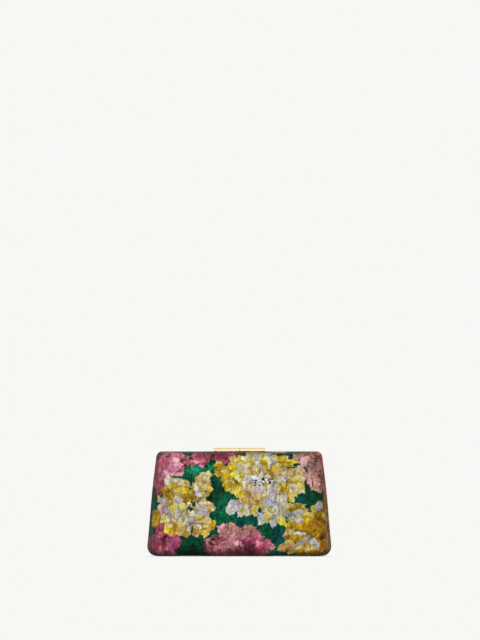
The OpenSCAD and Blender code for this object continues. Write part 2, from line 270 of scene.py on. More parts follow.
# Larger petals laid on top: x, z, turn, length, width, colour at the base, at the tip and at the
# edge, a third colour in blots, and how strongly the edge is drawn
PETALS = rows("""
    -71.2 75.2 125 18.7 12.2 cream ivory cream lavender 0.5,
    -59 75.8 165 19.7 7.9 pale lavender ivory cream 0.4,
    -67 70 140 11.2 6.9 orange golden yellow - 0.3,
    -75.4 67.2 150 12.2 7.9 mustard golden yellow - 0.4,
    -73.1 62.4 170 11.2 5.6 golden mustard beige - 0.4,
    -37.9 78.6 48 22.5 13 golden cream pale beige 0.6,
    -34.4 80.2 60 13 6.2 beige cream pale - 0.3, -43.4 73 60 12.2 7.9 yellow beige pale - 0.3,
    -36.2 68.2 352 16.8 13.4 yellow beige pale tan 0.5,
    -37 63.8 350 12 4.8 beige yellow pale - 0.4, -34.4 72.2 20 10.4 4.1 cream beige ivory - 0.4,
    -30.4 68.8 84 10.4 5 orange bright yellow - 0.3,
    -43.6 68.6 110 11.2 3.8 lavender ivory white - 0.4,
    -41.6 63.3 340 9 4.4 lavender ivory ivory dusk 0.4,
    -54.8 63 135 18.7 15 mustard beige golden golden 0.4,
    -59 68 175 19.7 5.8 bright yellow pale - 0.4,
    -63.2 56.5 160 12.7 9.7 lavender ivory white - 0.6,
    -76.8 56 170 10.5 8.6 dusk lavender beige - 0.5,
    -80.1 50.8 190 9.7 6.7 grey ivory ivory - 0.4,
    -70.5 58.3 100 15.9 5.8 golden mustard yellow - 0.3,
    -67.4 47.1 190 12.7 11.2 bright yellow cream - 0.4,
    -75.9 45.5 185 12.2 7.9 lavender mauve ivory - 0.5,
    -77.3 39.3 200 11.2 9.4 yellow pale cream - 0.4,
    -71.2 39.6 230 10.3 7.5 lavender ivory ivory - 0.4,
    -64.2 36.3 240 11.2 9 cream ivory ivory - 0.3,
    -59 43.6 200 15 13.7 grey lavender pale ivory 0.5,
    -38.9 53.2 20 11.2 6 cream ivory white - 0.4,
    -30.5 49.8 350 12.2 10.1 beige cream pale peach 0.4,
    -38.5 46.3 340 14.6 12.7 lavender violet ivory grey 0.5,
    -44 40.4 200 13.1 5.4 bright pale pale - 0.3,
    -48.1 35.8 250 10.3 9.7 lavender violet ivory - 0.4,
    -37 31.8 356 25.4 14.4 tan yellow orange beige 0.5,
    -33.3 32.8 0 15.9 5.6 beige pale yellow - 0.2,
    -39.8 25.7 357 18.7 3.7 orange bright golden - 0.3,
    -26.9 32.8 76 10.9 5.6 orange golden yellow - 0.3,
    -42.6 30.5 350 10.3 5.6 cream ivory white - 0.3,
    -60.2 32.4 250 14 10.5 cream beige pale - 0.4,
    -55 26.5 264 14 8.6 beige golden cream - 0.5,
    -51.4 28.1 265 8.4 4.3 ivory cream white - 0.4,
    -69.8 28.6 240 15.7 15.4 golden bright pale orange 0.5,
    -70.5 30.9 190 5.6 3.2 blush ivory yellow - 0.4,
    -68.1 24.3 250 8.6 6.6 golden orange yellow - 0.4,
    -88.8 38.9 262 18 14.6 mustard golden yellow golden 0.5,
    -51.1 55.1 120 10.3 6.6 golden mustard beige - 0.3,
    -58.1 51.3 190 9.4 6.6 yellow pale cream - 0.3,
    17.4 102.6 95 12.2 8.6 lavender grey ivory - 0.5,
    23.2 103.9 80 11.2 6.9 olive golden pale - 0.4,
    29.6 105.1 70 11.2 7.9 ivory grey ivory - 0.4,
    35.4 99.6 55 15 11.6 lavender dusk ivory bluegrey 0.6,
    42.7 101.1 30 11.2 7.5 golden yellow orange - 0.4,
    11.8 101.1 110 12.2 7.9 cream beige pale - 0.4,
    7.3 96.6 168 17.4 6.9 golden yellow cream bright 0.5,
    -5.2 100.2 150 12.2 6.9 yellow beige cream - 0.4,
    -20 93.6 150 12.2 8.4 golden orange yellow - 0.4,
    -20.6 86.4 188 12.4 8.6 mustard golden yellow golden 0.5,
    -12.5 87.3 180 12.7 12.4 golden beige yellow orange 0.5,
    -13.4 80.4 210 12.2 8.6 yellow golden pale - 0.4,
    -7 92.5 140 11.8 7.9 bright yellow cream - 0.4,
    -8.9 73.6 232 15.9 10.9 mustard golden cream golden 0.5,
    -2.8 73.6 250 15.9 9.7 mustard yellow bright - 0.4,
    -2.8 84.6 190 11.8 9.7 cream bright pale - 0.4,
    0.5 67.2 238 16.5 10.9 golden bright cream orange 0.5,
    4.5 91.4 160 13.7 10.5 cream lavender yellow - 0.4,
    9.1 85.8 170 12.7 8.6 beige cream ivory yellow 0.4,
    1.7 80.2 190 12.7 9.7 yellow pale cream - 0.4,
    9.9 80.3 185 11.2 7.5 ivory lavender white - 0.4,
    18.7 93.6 100 11.2 6.9 lavender ivory white - 0.8,
    19.8 88.2 120 10.9 9.7 mustard golden white beige 0.8,
    27.2 92.5 60 15 7.9 ivory white lavender - 0.5,
    26.9 98.7 80 12.7 7.5 golden yellow pale - 0.3,
    30.7 84.8 45 15.5 10.5 golden mustard yellow - 0.4,
    22.8 81.1 92 11.2 5.6 lavender white white - 0.6,
    17 80.3 140 10.3 5.2 ivory white ivory - 0.5, 28.4 80.3 40 11.2 5.2 ivory white white - 0.5,
    14.8 74.5 190 10.3 5.6 lavender ivory white - 0.5,
    38.9 89.1 52 15.5 11.6 orange bright yellow golden 0.5,
    45.5 92.9 30 9.4 5.6 golden beige pale - 0.3,
    51.1 95.3 8 16.5 9.4 golden yellow orange mustard 0.5,
    48.9 82.2 30 12.7 12.4 lavender ivory white mauve 0.6,
    56.9 83.9 30 15.5 10.5 beige orange bright peach 0.5,
    53.9 76.4 350 13.7 8.6 golden bright pale - 0.4,
    60.6 78.3 0 14.6 9.4 bright pale cream yellow 0.5,
    61.4 69.9 325 15 10.5 bright pale ivory golden 0.6,
    55 69.9 340 12.7 10.5 cream blush ivory - 0.5,
    40 77.7 0 14.6 10.5 dusk lavender cream - 0.4,
    43.8 71.7 320 12.7 9.4 yellow golden pale - 0.4,
    45.5 64.2 310 15.5 10.5 golden orange cream - 0.4,
    50.6 61.4 322 15 7.4 mustard golden yellow orange 0.4,
    9.1 73.6 200 12.7 12.4 lavender cream ivory mauve 0.5,
    4.5 60.5 228 14.6 11.4 golden yellow pale orange 0.5,
    1.5 54.1 225 10.3 7.5 yellow cream ivory - 0.4, 8.4 54.9 240 14.6 9.7 beige golden pale - 0.4,
    15.7 54.9 255 13.7 9.7 orange beige pale - 0.4,
    22.3 54.9 268 14.6 8.6 mustard golden beige - 0.4,
    12.9 69.9 220 7.5 10.9 bright pale pale - 0.3,
    26.4 60.7 292 12.2 7.5 golden bright yellow - 0.3,
    36.3 69.9 280 12.7 11.4 lavender ivory white - 0.5,
    32.9 65.2 262 11.8 9.7 ivory white white - 0.4,
    19.4 66.8 255 16 16.2 violet peach pale ivory 0.8,
    9.9 47.4 250 11.8 8.6 beige cream ivory - 0.5, 16.1 46.4 282 12.7 7.9 pale cream ivory - 0.6,
    3.5 46.6 236 14.6 8.6 lavender ivory white - 0.7,
    -6.3 51.3 215 18.7 12.7 dusk lavender white grey 0.9,
    28.8 54.9 255 15.5 8.6 bluegrey lavender ivory - 0.5,
    36.3 57.7 275 19.3 13.3 lavender bluegrey ivory dusk 0.6,
    43.8 56.7 300 14.6 9.7 ivory blush white - 0.6,
    40 47.4 290 15.5 10.5 lavender ivory white - 0.5,
    23.4 39.6 262 16.4 9.2 lavender grey white bluegrey 0.8,
    29.7 42.7 268 16.5 8.2 cream golden pale peach 0.5,
    35 37.1 262 15.2 8.6 grey lavender ivory - 0.7,
    42.7 38 288 14.6 9 lavender bright orange - 0.6,
    48.5 45.5 330 16.5 8.6 lavender grey ivory - 0.5,
    51.3 51.1 345 19.3 7.7 beige golden cream dusk 0.5,
    56.9 48.3 5 16.5 7.9 mustard golden pale golden 0.5,
    63.3 51.3 15 12.2 5.6 mustard olive beige - 0.4,
    56 41.8 340 14.6 5.8 grey lavender ivory - 0.4,
    62.3 44.2 350 15 7.9 bluegrey beige ivory grey 0.6,
    71 41.4 355 14.6 7.9 golden olive pale mustard 0.5,
    56 37.1 310 12.7 6.2 cream ivory white - 0.5,
    63.5 36.1 330 16.5 6.9 ivory grey white cream 0.5,
    55 28.5 150 17.4 12.4 mustard golden yellow - 0.5,
    51.3 22.3 200 13.7 10.9 golden mustard white - 0.8,
    63.5 28.8 60 14.6 9.7 golden bright yellow - 0.4,
    68.1 24.9 20 13.7 8.6 golden mustard yellow - 0.4,
    58.8 18.9 200 16.9 9 bright golden pale yellow 0.6,
    62.5 23.2 176 12.7 4.3 ivory white white - 0.5,
    70 33.3 60 13.7 8.6 golden yellow pale orange 0.4,
    76.6 29.6 45 14.6 9.7 golden mustard yellow - 0.4,
    82.9 26.8 20 13.7 9.7 mustard olive golden - 0.3,
    88.7 30.5 30 11.8 10.9 golden orange yellow - 0.4,
    77.5 49.1 160 9 7.1 beige cream pale - 0.5, 82.9 42.7 60 13.7 9 bronze mustard golden - 0.3,
    88.7 39.9 70 12.7 9 mustard golden yellow - 0.3, 82 51.3 0 9.2 9.2 grey grey ivory - 0.9,
    82.6 50.7 0 5.1 4.7 lavender dusk ivory - 0.6,
    79.4 21.2 350 12.7 8.6 bronze mustard golden - 0.3,
    85.9 19.3 0 6.6 5.6 brown bronze mustard - 0.2,
    90.6 13.9 340 12.7 12.7 mustard golden golden - 0.3,
    83.1 9.9 318 16.5 10.9 orange golden mustard - 0.4,
    70 16.5 200 11.8 8.6 grey bluegrey ivory - 0.5,
    76.6 12.7 300 14.6 9.7 ivory grey cream - 0.5, 75.4 7.1 280 11.2 6.9 cream golden pale - 0.3,
    68.5 9.5 268 11.8 7.9 peach cream pale - 0.4, 63.3 7.1 260 9.4 5.6 pale golden cream - 0.3,
    60.6 11.4 230 11.8 6.9 grey ivory ivory - 0.4, 54.8 11.8 218 13.7 7.9 golden cream pale - 0.4,
    52.2 13.7 160 11.8 5.8 cream pale ivory - 0.5, 47 9.2 192 15.9 8.6 beige pale cream peach 0.6""")

# Darker gaps where the ground or a leaf shows through: x, z, half width, half height, turn, kind
GAPS = rows("""
    3.3 106.2 4.8 2.6 0 leaf, 44.5 106.2 7.5 2.6 0 deep, 58.5 93.6 4.0 1.7 0 leaf,
    52.6 91.0 8.5 0.55 2 deep, 69.8 51.4 3.0 2.2 0 leaf, 71.5 46.8 3.2 0.9 -35 deep,
    -29.5 13.4 4.4 1.3 -38 deep, -27.5 17.0 1.8 1.5 0 leaf, 68.0 89.6 3.5 1.0 -55 leaf,
    79.0 99.0 6.5 0.5 -32 deep, 74.6 76.4 0.6 4.6 8 deep, -81.9 40.0 0.7 5.0 4 deep,
    -76.5 20.0 1.9 1.1 40 deep, -49.2 101.6 3.0 1.0 -30 leaf, -59.5 98.5 3.4 1.1 20 leaf,
    -56.0 93.0 2.0 1.2 -40 deep, -73.0 103.5 2.6 0.8 15 deep, -82.0 105.5 5.0 2.2 10 leaf,
    48.0 4.0 3.0 1.2 40 leaf, 21.2 47.0 2.0 2.6 10 leaf, -48.6 27.0 1.2 4.2 -6 leaf,
    -80.5 62.2 2.6 1.5 20 leaf""")
GAP_LOOKS = {"leaf": (colour(18, 74, 52), 0.92), "deep": (colour(34, 44, 34), 0.68)}

# Stamens: x, z, reach, number of strokes
HEARTS = [(-48.6, 54.2, 4.0, 20), (-49.8, 48.2, 4.4, 18), (22.6, 77.4, 6.2, 46),
          (32.5, 77.0, 3.6, 14), (18.0, 75.0, 3.4, 12)]


# ---- drawing the pattern -----------------------------------------------------
@dataclass
class Petal:
    x: float
    z: float
    turn: float
    length: float
    width: float
    base: np.ndarray
    tip: np.ndarray
    edge: np.ndarray
    own: float                  # the petal's own number, 0 to 1, varies everything about it
    third: np.ndarray           # colour of the blots, or None
    mate: np.ndarray            # colour of the strokes run through it, or None
    outline: float              # how strongly the edge is drawn
    rim_width: float
    blur: float                 # half width of the soft edge
    lift: float
    sharp: float = 2.2          # exponent of the outline: 2 is an ellipse
    ruffle: float = 0.08
    soft: int = 0
    mate_few: bool = False      # fewer strokes where the base colour is neutral


def partner(c, pick):
    """The colour brushed through a petal: pale through yellow ones, yellow through pale ones."""
    if c[0] - c[2] > 0.30:
        names = ("ivory", "cream", "lavender", "white", "blush")
    else:
        names = ("yellow", "pale", "golden", "bright", "beige")
    return PALETTE[names[int(pick * 4.999)]]


def petal_colour(petal, along, across, share, inside, angle, sway):
    """Colour over a petal, its edge band, and its streaks."""
    own, base = petal.own, petal.base
    fan = across / (0.45 + 0.55 * share)                   # veins spread towards the tip
    streak = noise(fan * (0.9 + 0.4 * own), along * 0.13, int(own * 7919) + 3)
    fine = noise(fan * 2.6, along * 0.25, int(own * 7919) + 9)
    c = base + (petal.tip - base) * ramp(0.10, 0.90, share + 0.20 * streak)[:, None]
    if petal.third is not None:
        blot = fbm(along / 4.6 + own * 31, fan / 2.6 - own * 17, int(own * 3571) + 21, 2)
        c = c + (petal.third - c) * (0.64 * ramp(-0.10, 0.42, blot))[:, None]
    if petal.mate is not None:
        lean = (own * 5.3 % 1.0 - 0.5) * 2.2
        u = along * math.cos(lean) + across * math.sin(lean)
        v = -along * math.sin(lean) + across * math.cos(lean)
        dab = noise(v / (1.7 + 0.6 * own) + own * 77, u / 6.0 - own * 13, int(own * 2711) + 33)
        dab = dab + 0.30 * noise(v / 0.9, u / 2.6, int(own * 1711) + 37)
        few = 0.24 * ramp(-0.22, -0.10, -abs(base[0] - base[2])) if petal.mate_few else 0.0
        c = c + (petal.mate - c) * (0.62 * ramp(0.02 + few, 0.50 + few, dab))[:, None]
        deep = noise(v / 1.5 - own * 51, u / 5.0 + own * 23, int(own * 911) + 43)
        c = c * (1 - 0.17 * ramp(0.42, 0.76, deep))[:, None]
    # brush strokes that follow the edge, a little lighter or darker
    stroke = np.sin(inside * (3.0 + 1.2 * own) + 2.2 * sway + own * 11)
    c = c * (1 + 0.075 * streak + 0.05 * fine + 0.055 * stroke * (1 - 0.5 * petal.soft))[:, None]
    c = c * (0.88 + 0.12 * ramp(0.0, 0.40, share))[:, None]
    broken = ramp(-0.4, 0.3, noise(angle * 2.2 + own * 9, share * 2, int(own * 4241)))
    band = ramp(petal.rim_width + 0.35, 0.25, inside) * (0.30 + 0.70 * broken)
    c = c + (petal.edge * 1.04 - c) * (petal.outline * band)[:, None]
    return c, band, streak


def blossom_spots(blossom, rng):
    """Petal places in a blossom, farthest from its heart first: distance, x, z, six draws."""
    length, width = blossom["size"]
    area = blossom["area"]
    gap = 0.60 * width
    shrink = 0.34 * length
    x0 = min(e[0] - e[2] for e in area) - 2
    x1 = max(e[0] + e[2] for e in area) + 2
    z = min(e[1] - e[3] for e in area) - 2
    z1 = max(e[1] + e[3] for e in area) + 2
    heart_x, heart_z = blossom["heart"]
    spots = []
    row = 0
    while z < z1:
        x = x0 + (gap / 2 if row % 2 else 0)
        while x < x1:
            px = x + rng.uniform(-0.42, 0.42) * gap
            pz = z + rng.uniform(-0.42, 0.42) * gap
            draws = rng.rand(6)
            for ex, ez, rx, rz, turn in area:
                t = math.radians(turn)
                u = (px - ex) * math.cos(t) + (pz - ez) * math.sin(t)
                v = -(px - ex) * math.sin(t) + (pz - ez) * math.cos(t)
                if (u / max(rx - shrink, 1.5)) ** 2 + (v / max(rz - shrink, 1.5)) ** 2 < 1:
                    spots.append((math.hypot(px - heart_x, pz - heart_z), px, pz, draws))
                    break
            x += gap
        z += gap * 0.87
        row += 1
    spots.sort(key=lambda spot: -spot[0])
    return spots


def blossom_petal(blossom, x, z, draws):
    """One petal of a blossom, in the colours that are strong at its place."""
    length, width = blossom["size"]
    heart_x, heart_z = blossom["heart"]
    soft, tones = blossom["soft"], blossom["tones"]
    weight = np.array([math.exp(-((x - tx) ** 2 + (z - tz) ** 2) / (2 * (0.62 * reach) ** 2)) + 1e-6
                       for tx, tz, reach, _ in tones])
    weight /= weight.sum()
    order = np.argsort(-weight)
    main = PALETTE[tones[int(np.searchsorted(np.cumsum(weight), draws[2] * 0.9999))][3]]
    second = PALETTE[tones[order[1]][3]]
    third = PALETTE[tones[order[1 + int(draws[4] * 2)]][3]]
    scale = 0.78 + 0.5 * draws[1]
    value = 0.80 + 0.36 * draws[5]
    if soft:
        mate = None
    elif "strokes" in blossom and z > 12:
        mate = PALETTE[blossom["strokes"][int(draws[4] * 3.99)]]
    else:
        mate = partner(main, draws[4])
    return Petal(
        x=x, z=z, turn=math.degrees(math.atan2(z - heart_z, x - heart_x)) + (draws[0] - 0.5) * 70,
        length=length * scale, width=width * scale * (0.85 + 0.3 * draws[3]),
        base=(main * 0.76 + second * 0.20) * (0.92 * value),
        tip=(main * 0.84 + second * 0.16 + 0.03) * value,
        edge=PALETTE[blossom["edge"]] * (0.97 + 0.1 * draws[5]),
        own=draws[5], third=third * 1.02, mate=mate,
        outline=0.35 + 0.2 * draws[1] if soft else 0.45 + 0.4 * draws[1],
        rim_width=0.7, blur=0.28, lift=0.6 + 0.8 * draws[0], sharp=1.9 + 0.8 * draws[1],
        ruffle=0.11 if soft else 0.08, soft=soft)


def large_petal(number, entry, seed):
    x, z, turn, length, width, base, tip, edge, third, outline = entry
    own = (0.137 * (number + 1) + 0.31 * seed) % 1.0
    if x > 52 and 17 < z < 44:
        mate = PALETTE[("cream", "olive", "bronze")[number % 3]]
    elif x < -82 or width >= 15:
        mate = None
    else:
        mate = partner((PALETTE[base] + PALETTE[tip]) / 2, (own * 7.3) % 1.0)
    return Petal(
        x=x, z=z, turn=turn, length=length, width=width * 1.02, base=PALETTE[base] * 0.95,
        tip=PALETTE[tip], edge=PALETTE[edge], own=own, third=PALETTE[third] if third else None,
        mate=mate, mate_few=True, outline=outline * 0.9, rim_width=0.75, blur=0.42, lift=1.1)


class Cloth:
    """The pattern's colour, relief and petal co-ordinates at given points, built up in layers."""

    def __init__(self, points, seed, turned):
        self.seed = seed
        if turned:
            points = np.array([0.0, PATTERN_TOP]) - points
        self.x, self.z = x, z = points[:, 0], points[:, 1]

        def wander(shift, seed):
            return (0.75 * noise(x / 4.6 + shift, z / 4.6, seed)
                    + 0.25 * noise(x / 1.7 + shift, z / 1.7, seed + 1))

        # the drawing wanders a little, as if done with a brush
        self.drawn = np.stack([x + wander(0, seed + 5), z + wander(9, seed + 7)], 1)
        strand = fbm(x / 2.6, z / 14, seed + 2)
        self.colour = self.ground(strand)
        self.height = 0.10 * strand
        self.local = np.stack([z, x, np.zeros(len(x))], 1)      # along, across, petal's own number
        self.bloom = np.zeros(len(x))
        self.rim = np.zeros(len(x))

    def ground(self, strand):
        """Emerald, with lighter and bluer drifts along the warp."""
        x, z, seed = self.x, self.z, self.seed
        drift = fbm(x / 17, z / 26, seed + 1)
        c = np.tile(colour(20, 90, 66), (len(x), 1))
        c = blend(c, colour(38, 114, 90), ramp(-0.1, 0.55, drift + 0.35 * strand))
        c = blend(c, colour(12, 64, 50), ramp(0.0, 0.55, -drift + 0.3 * strand))
        c = blend(c, colour(14, 78, 92), 0.5 * ramp(0.22, 0.6, fbm(x / 13 + 5, z / 20, seed + 3)))
        for tint, least, most, spots in GLOWS:
            glow = sum(strength * np.exp(-(((x - sx) / rx) ** 2 + ((z - sz) / rz) ** 2))
                       for sx, sz, rx, rz, strength in spots)
            c = blend(c, tint, np.clip(glow * (least + 0.5 * strand), 0, most))
        low = ramp(26, 4, z) * ramp(-66, -56, x) * ramp(-24, -34, x)
        return blend(c, colour(8, 56, 44), 0.35 * low)

    def lay(self, petal):
        """Lays one petal over what is there."""
        own, length, width = petal.own, petal.length, petal.width
        reach = 0.62 * max(length, width) + 2.0
        offset = self.drawn - np.array([petal.x, petal.z])
        near = np.nonzero((np.abs(offset[:, 0]) < reach) & (np.abs(offset[:, 1]) < reach))[0]
        if not len(near):
            return
        turn = math.radians(petal.turn)
        cos, sin = math.cos(turn), math.sin(turn)
        dx, dz = offset[near, 0], offset[near, 1]
        sway = noise(self.drawn[near, 0] / 3.1, self.drawn[near, 1] / 3.1, int(own * 9973) + 5)
        along = dx * cos + dz * sin + 0.4 * sway
        across = -dx * sin + dz * cos + 0.3 * sway
        across = across + (own - 0.5) * 0.035 * along * along      # petals curl to one side
        share = np.clip(along / length + 0.5, 0.0, 1.0)
        # narrow base, broad shoulder, ruffled edge
        profile = 0.46 + 0.54 * np.sin(np.pi * np.clip(0.14 + 0.78 * share, 0, 1)) ** 0.8
        angle = np.arctan2(across / width, along / length)
        wave = (1 + petal.ruffle * np.sin(angle * (5 + int(own * 4)) + own * 20)
                + 0.6 * petal.ruffle * np.sin(angle * 13 + own * 50))
        f = (np.abs(2 * along / length) ** petal.sharp
             + np.abs(2 * across / (width * profile)) ** petal.sharp) ** (1 / petal.sharp) * wave
        inside = (1 - f) * 0.5 * min(length, width)
        cover = ramp(-petal.blur, petal.blur, inside)
        # the petal's shadow on what lies beneath
        shadow = ((0.17 - 0.02 * petal.soft) * np.exp(-np.clip(-inside, 0, None) / 0.8)
                  * (1 - cover) * self.bloom[near].clip(0.45, 1))
        self.colour[near] *= (1 - shadow)[:, None]
        c, band, streak = petal_colour(petal, along, across, share, inside, angle, sway)
        self.colour[near] = self.colour[near] * (1 - cover)[:, None] + c * cover[:, None]
        dome = (0.16 + 0.30 * petal.lift * np.clip(1 - f * f, 0, 1) + 0.10 * band
                - 0.04 * np.abs(streak)) * (0.8 + 0.4 * own)
        self.height[near] = self.height[near] * (1 - cover) + dome * cover
        local = np.stack([along, across, np.full(len(along), own)], 1)
        self.local[near] = np.where((cover > 0.5)[:, None], local, self.local[near])
        self.bloom[near] = np.maximum(self.bloom[near], cover)
        self.rim[near] = self.rim[near] * (1 - cover) + band * cover

    def open_gap(self, cx, cz, rx, rz, turn, kind):
        a = math.radians(turn)
        x, z = self.drawn[:, 0], self.drawn[:, 1]
        dx, dz = x - cx, z - cz
        u, v = dx * math.cos(a) + dz * math.sin(a), -dx * math.sin(a) + dz * math.cos(a)
        m = ramp(1.12, 0.80, np.hypot(u / rx, v / rz) + 0.22 * noise(x / 1.6, z / 1.6, 3))
        tint, strength = GAP_LOOKS[kind]
        self.colour = blend(self.colour, tint, strength * m)
        self.height = self.height - 0.18 * m
        self.bloom = self.bloom * (1 - 0.8 * m)

    def stamens(self):
        """Short dark strokes with pale ones between them round each heart."""
        x, z = self.x, self.z
        rng = np.random.RandomState(self.seed + 77)
        for heart_x, heart_z, reach, count in HEARTS:
            right = heart_x > 0
            glow = bell(np.hypot(x - heart_x, z - heart_z), 0.9 * reach)
            self.colour = blend(self.colour, PALETTE["ivory" if right else "pale"],
                                (0.62 if right else 0.34) * glow)
            light = colour(250, 246, 236) if right else colour(222, 214, 168)
            for _ in range(count):
                a, r = rng.uniform(0, 2 * math.pi), reach * rng.uniform(0.15, 1.0)
                dx, dz = x - (heart_x + r * math.cos(a)), z - (heart_z + 0.75 * r * math.sin(a))
                turn = a + rng.uniform(-0.8, 0.8)
                along = dx * math.cos(turn) + dz * math.sin(turn)
                across = -dx * math.sin(turn) + dz * math.cos(turn)
                m = ramp(0.80, 0.36, np.abs(across)) * ramp(1.6, 1.0, np.abs(along))
                kind = rng.rand()
                tint = (colour(14, 36, 34) if kind < 0.48 else
                        colour(62, 44, 10) if kind < 0.60 else light)
                self.colour = blend(self.colour, tint, m)
                self.height = self.height + 0.12 * m

    def pucker(self):
        """The crackled cloque relief, two sizes of pucker with creases between; returns shading."""
        x, z, seed = self.x, self.z, self.seed
        wx = x + 2.2 * fbm(x / 9, z / 9, seed + 41) + 0.7 * noise(x / 2.4, z / 2.4, seed + 42)
        wz = z + 2.2 * fbm(x / 9 + 40, z / 9, seed + 43) + 0.7 * noise(x / 2.4, z / 2.4, seed + 44)
        edge1, number1 = cells(wx / 5.6, wz / 9.5, seed + 51)
        edge2, number2 = cells(wx / 2.7, wz / 3.8, seed + 52)
        edge1, edge2 = edge1 * 7.0, edge2 * 3.1
        broken1 = ramp(-0.35, 0.35, fbm(x / 5, z / 5, seed + 60))
        broken2 = ramp(-0.1, 0.5, fbm(x / 3.5, z / 3.5, seed + 61))
        puff = 0.26 * (1 - bell(edge1, 1.5)) + 0.11 * (1 - bell(edge2, 0.8))
        crease1 = bell(edge1, 0.42) * (0.25 + 0.75 * broken1)
        crease2 = bell(edge2, 0.34) * broken2
        ground = 1.0 - 0.72 * self.bloom
        rough = fbm(x / 1.7, z / 1.7, seed + 62, 2)
        self.height = self.height + puff - 0.10 * crease1 + 0.10 * rough
        self.crease = np.clip(crease1 + 0.6 * crease2, 0, 1) * (0.4 + 0.6 * ground)
        shade = 1 - (0.70 * crease1 + 0.34 * crease2) * ground
        # warp threads show as faint upright lines everywhere
        warp = noise(x / 1.15, z / 6.5, seed + 71)
        tone = (1.0 + 0.10 * (number1 - 0.5) * (0.5 + 0.5 * ground) + 0.13 * (number2 - 0.5)
                + 0.07 * warp)
        return shade * tone

    def grade(self, shading):
        """Broad shifts of colour over the whole cloth, then silk's own contrast."""
        x, z, c = self.x, self.z, self.colour
        # the right lower blossom's weave has deeper golds; lower down, painted shade darkens the
        # blossoms a little and shifts their hue slightly
        deep = ramp(52, 66, x) * ramp(44, 30, z)
        gilt = ramp(0.10, 0.34, c[:, 0] - c[:, 2])
        c = blend(c, c * np.array([0.94, 0.86, 0.46]), deep * gilt)
        low = ramp(36, 16, z) * (1 - deep) * (self.bloom > 0.4)
        c = blend(c, c * np.array([0.94, 0.90, 0.92]), low)
        # the left edge is in deeper shade
        c = c * (1 - 0.20 * ramp(-72, -84, x) * ramp(50, 66, z)
                 - 0.13 * ramp(-80, -88, x) * ramp(26, 16, z))[:, None]
        c = c * shading[:, None] * np.array([0.964, 0.988, 0.998])
        grey = c.mean(1, keepdims=True)
        pinkish = (ramp(0.02, 0.16, c[:, 2] - c[:, 1] * 0.95)
                   * ramp(0.1, 0.3, c[:, 0] - c[:, 1]))
        c = grey + (c - grey) * (1.12 - 0.24 * pinkish)[:, None]
        c = c + 0.34 * (c - 0.56) * (1 - np.abs(2 * np.clip(c, 0, 1) - 1) ** 3)
        self.colour = np.clip(c, 0.004, 0.97)


def weave_pattern(points, turned, seed=3):
    cloth = Cloth(points, seed, turned)
    for blossom in BLOSSOMS:
        rng = np.random.RandomState(blossom["seed"] * 7 + seed)
        for _, x, z, draws in blossom_spots(blossom, rng):
            cloth.lay(blossom_petal(blossom, x, z, draws))
    for number, entry in enumerate(PETALS):
        cloth.lay(large_petal(number, entry, seed))
    for gap in GAPS:
        cloth.open_gap(*gap)
    cloth.stamens()
    cloth.grade(cloth.pucker())
    return cloth


# ---- mesh helpers --------------------------------------------------------------
def grid(nu, nv):
    """Quads of a grid nu by nv, and the indices round its border."""
    index = np.arange((nu + 1) * (nv + 1)).reshape(nv + 1, nu + 1)
    quads = np.stack([index[:-1, :-1], index[:-1, 1:], index[1:, 1:], index[1:, :-1]], -1)
    border = np.concatenate([index[0, :-1], index[:-1, -1], index[-1, :0:-1], index[:0:-1, 0]])
    return quads.reshape(-1, 4), border


def ring_strip(a, b):
    """Quads between two closed rings of equal length."""
    return np.stack([a, b, np.roll(b, -1), np.roll(a, -1)], -1)


def turned(polys, flip):
    return polys[:, ::-1] if flip else polys


def with_zero(pairs):
    return np.column_stack([pairs, np.zeros(len(pairs))])


def normals(points, quads):
    """Vertex normals of a quad mesh, area weighted."""
    a, b, c, d = [points[quads[:, i]] for i in range(4)]
    face = np.cross(c - a, d - b)
    out = np.zeros_like(points)
    for i in range(4):
        for axis in range(3):
            out[:, axis] += np.bincount(quads[:, i], weights=face[:, axis], minlength=len(points))
    return out / np.maximum(np.linalg.norm(out, axis=1), 1e-12)[:, None]


def to_world(p, rear):
    """(x, forward, z) in millimetres to Blender's metres. The front half faces -Y."""
    return np.stack([p[:, 0], p[:, 1] if rear else -p[:, 1], p[:, 2]], 1) * 0.001


ATTRIBUTE_KINDS = {1: ("FLOAT", "value"), 3: ("FLOAT_VECTOR", "vector"), 4: ("FLOAT_COLOR", "color")}


def make_mesh(name, points, polys, attributes=None):
    """A smooth mesh object from points in metres and a list of (n, k) index arrays.
    Attributes that are shorter than the points are filled up with zeros."""
    mesh = bpy.data.meshes.new(name)
    mesh.vertices.add(len(points))
    mesh.vertices.foreach_set("co", np.ascontiguousarray(points, np.float32).ravel())
    loops = np.concatenate([q.ravel() for q in polys]).astype(np.int32)
    corners = np.concatenate([np.full(len(q), q.shape[1]) for q in polys]).astype(np.int32)
    mesh.loops.add(len(loops))
    mesh.loops.foreach_set("vertex_index", loops)
    mesh.polygons.add(len(corners))
    starts = np.concatenate([[0], np.cumsum(corners)[:-1]]).astype(np.int32)
    mesh.polygons.foreach_set("loop_start", starts)
    mesh.polygons.foreach_set("use_smooth", np.full(len(corners), True))
    for key, values in (attributes or {}).items():
        kind, field = ATTRIBUTE_KINDS[1 if values.ndim == 1 else values.shape[1]]
        rest = np.zeros((len(points) - len(values),) + values.shape[1:])
        layer = mesh.attributes.new(key, kind, "POINT")
        layer.data.foreach_set(field, np.concatenate([values, rest]).astype(np.float32).ravel())
    mesh.update(calc_edges=True)
    mesh.validate(clean_customdata=False)
    ob = bpy.data.objects.new(name, mesh)
    bpy.context.scene.collection.objects.link(ob)
    return ob


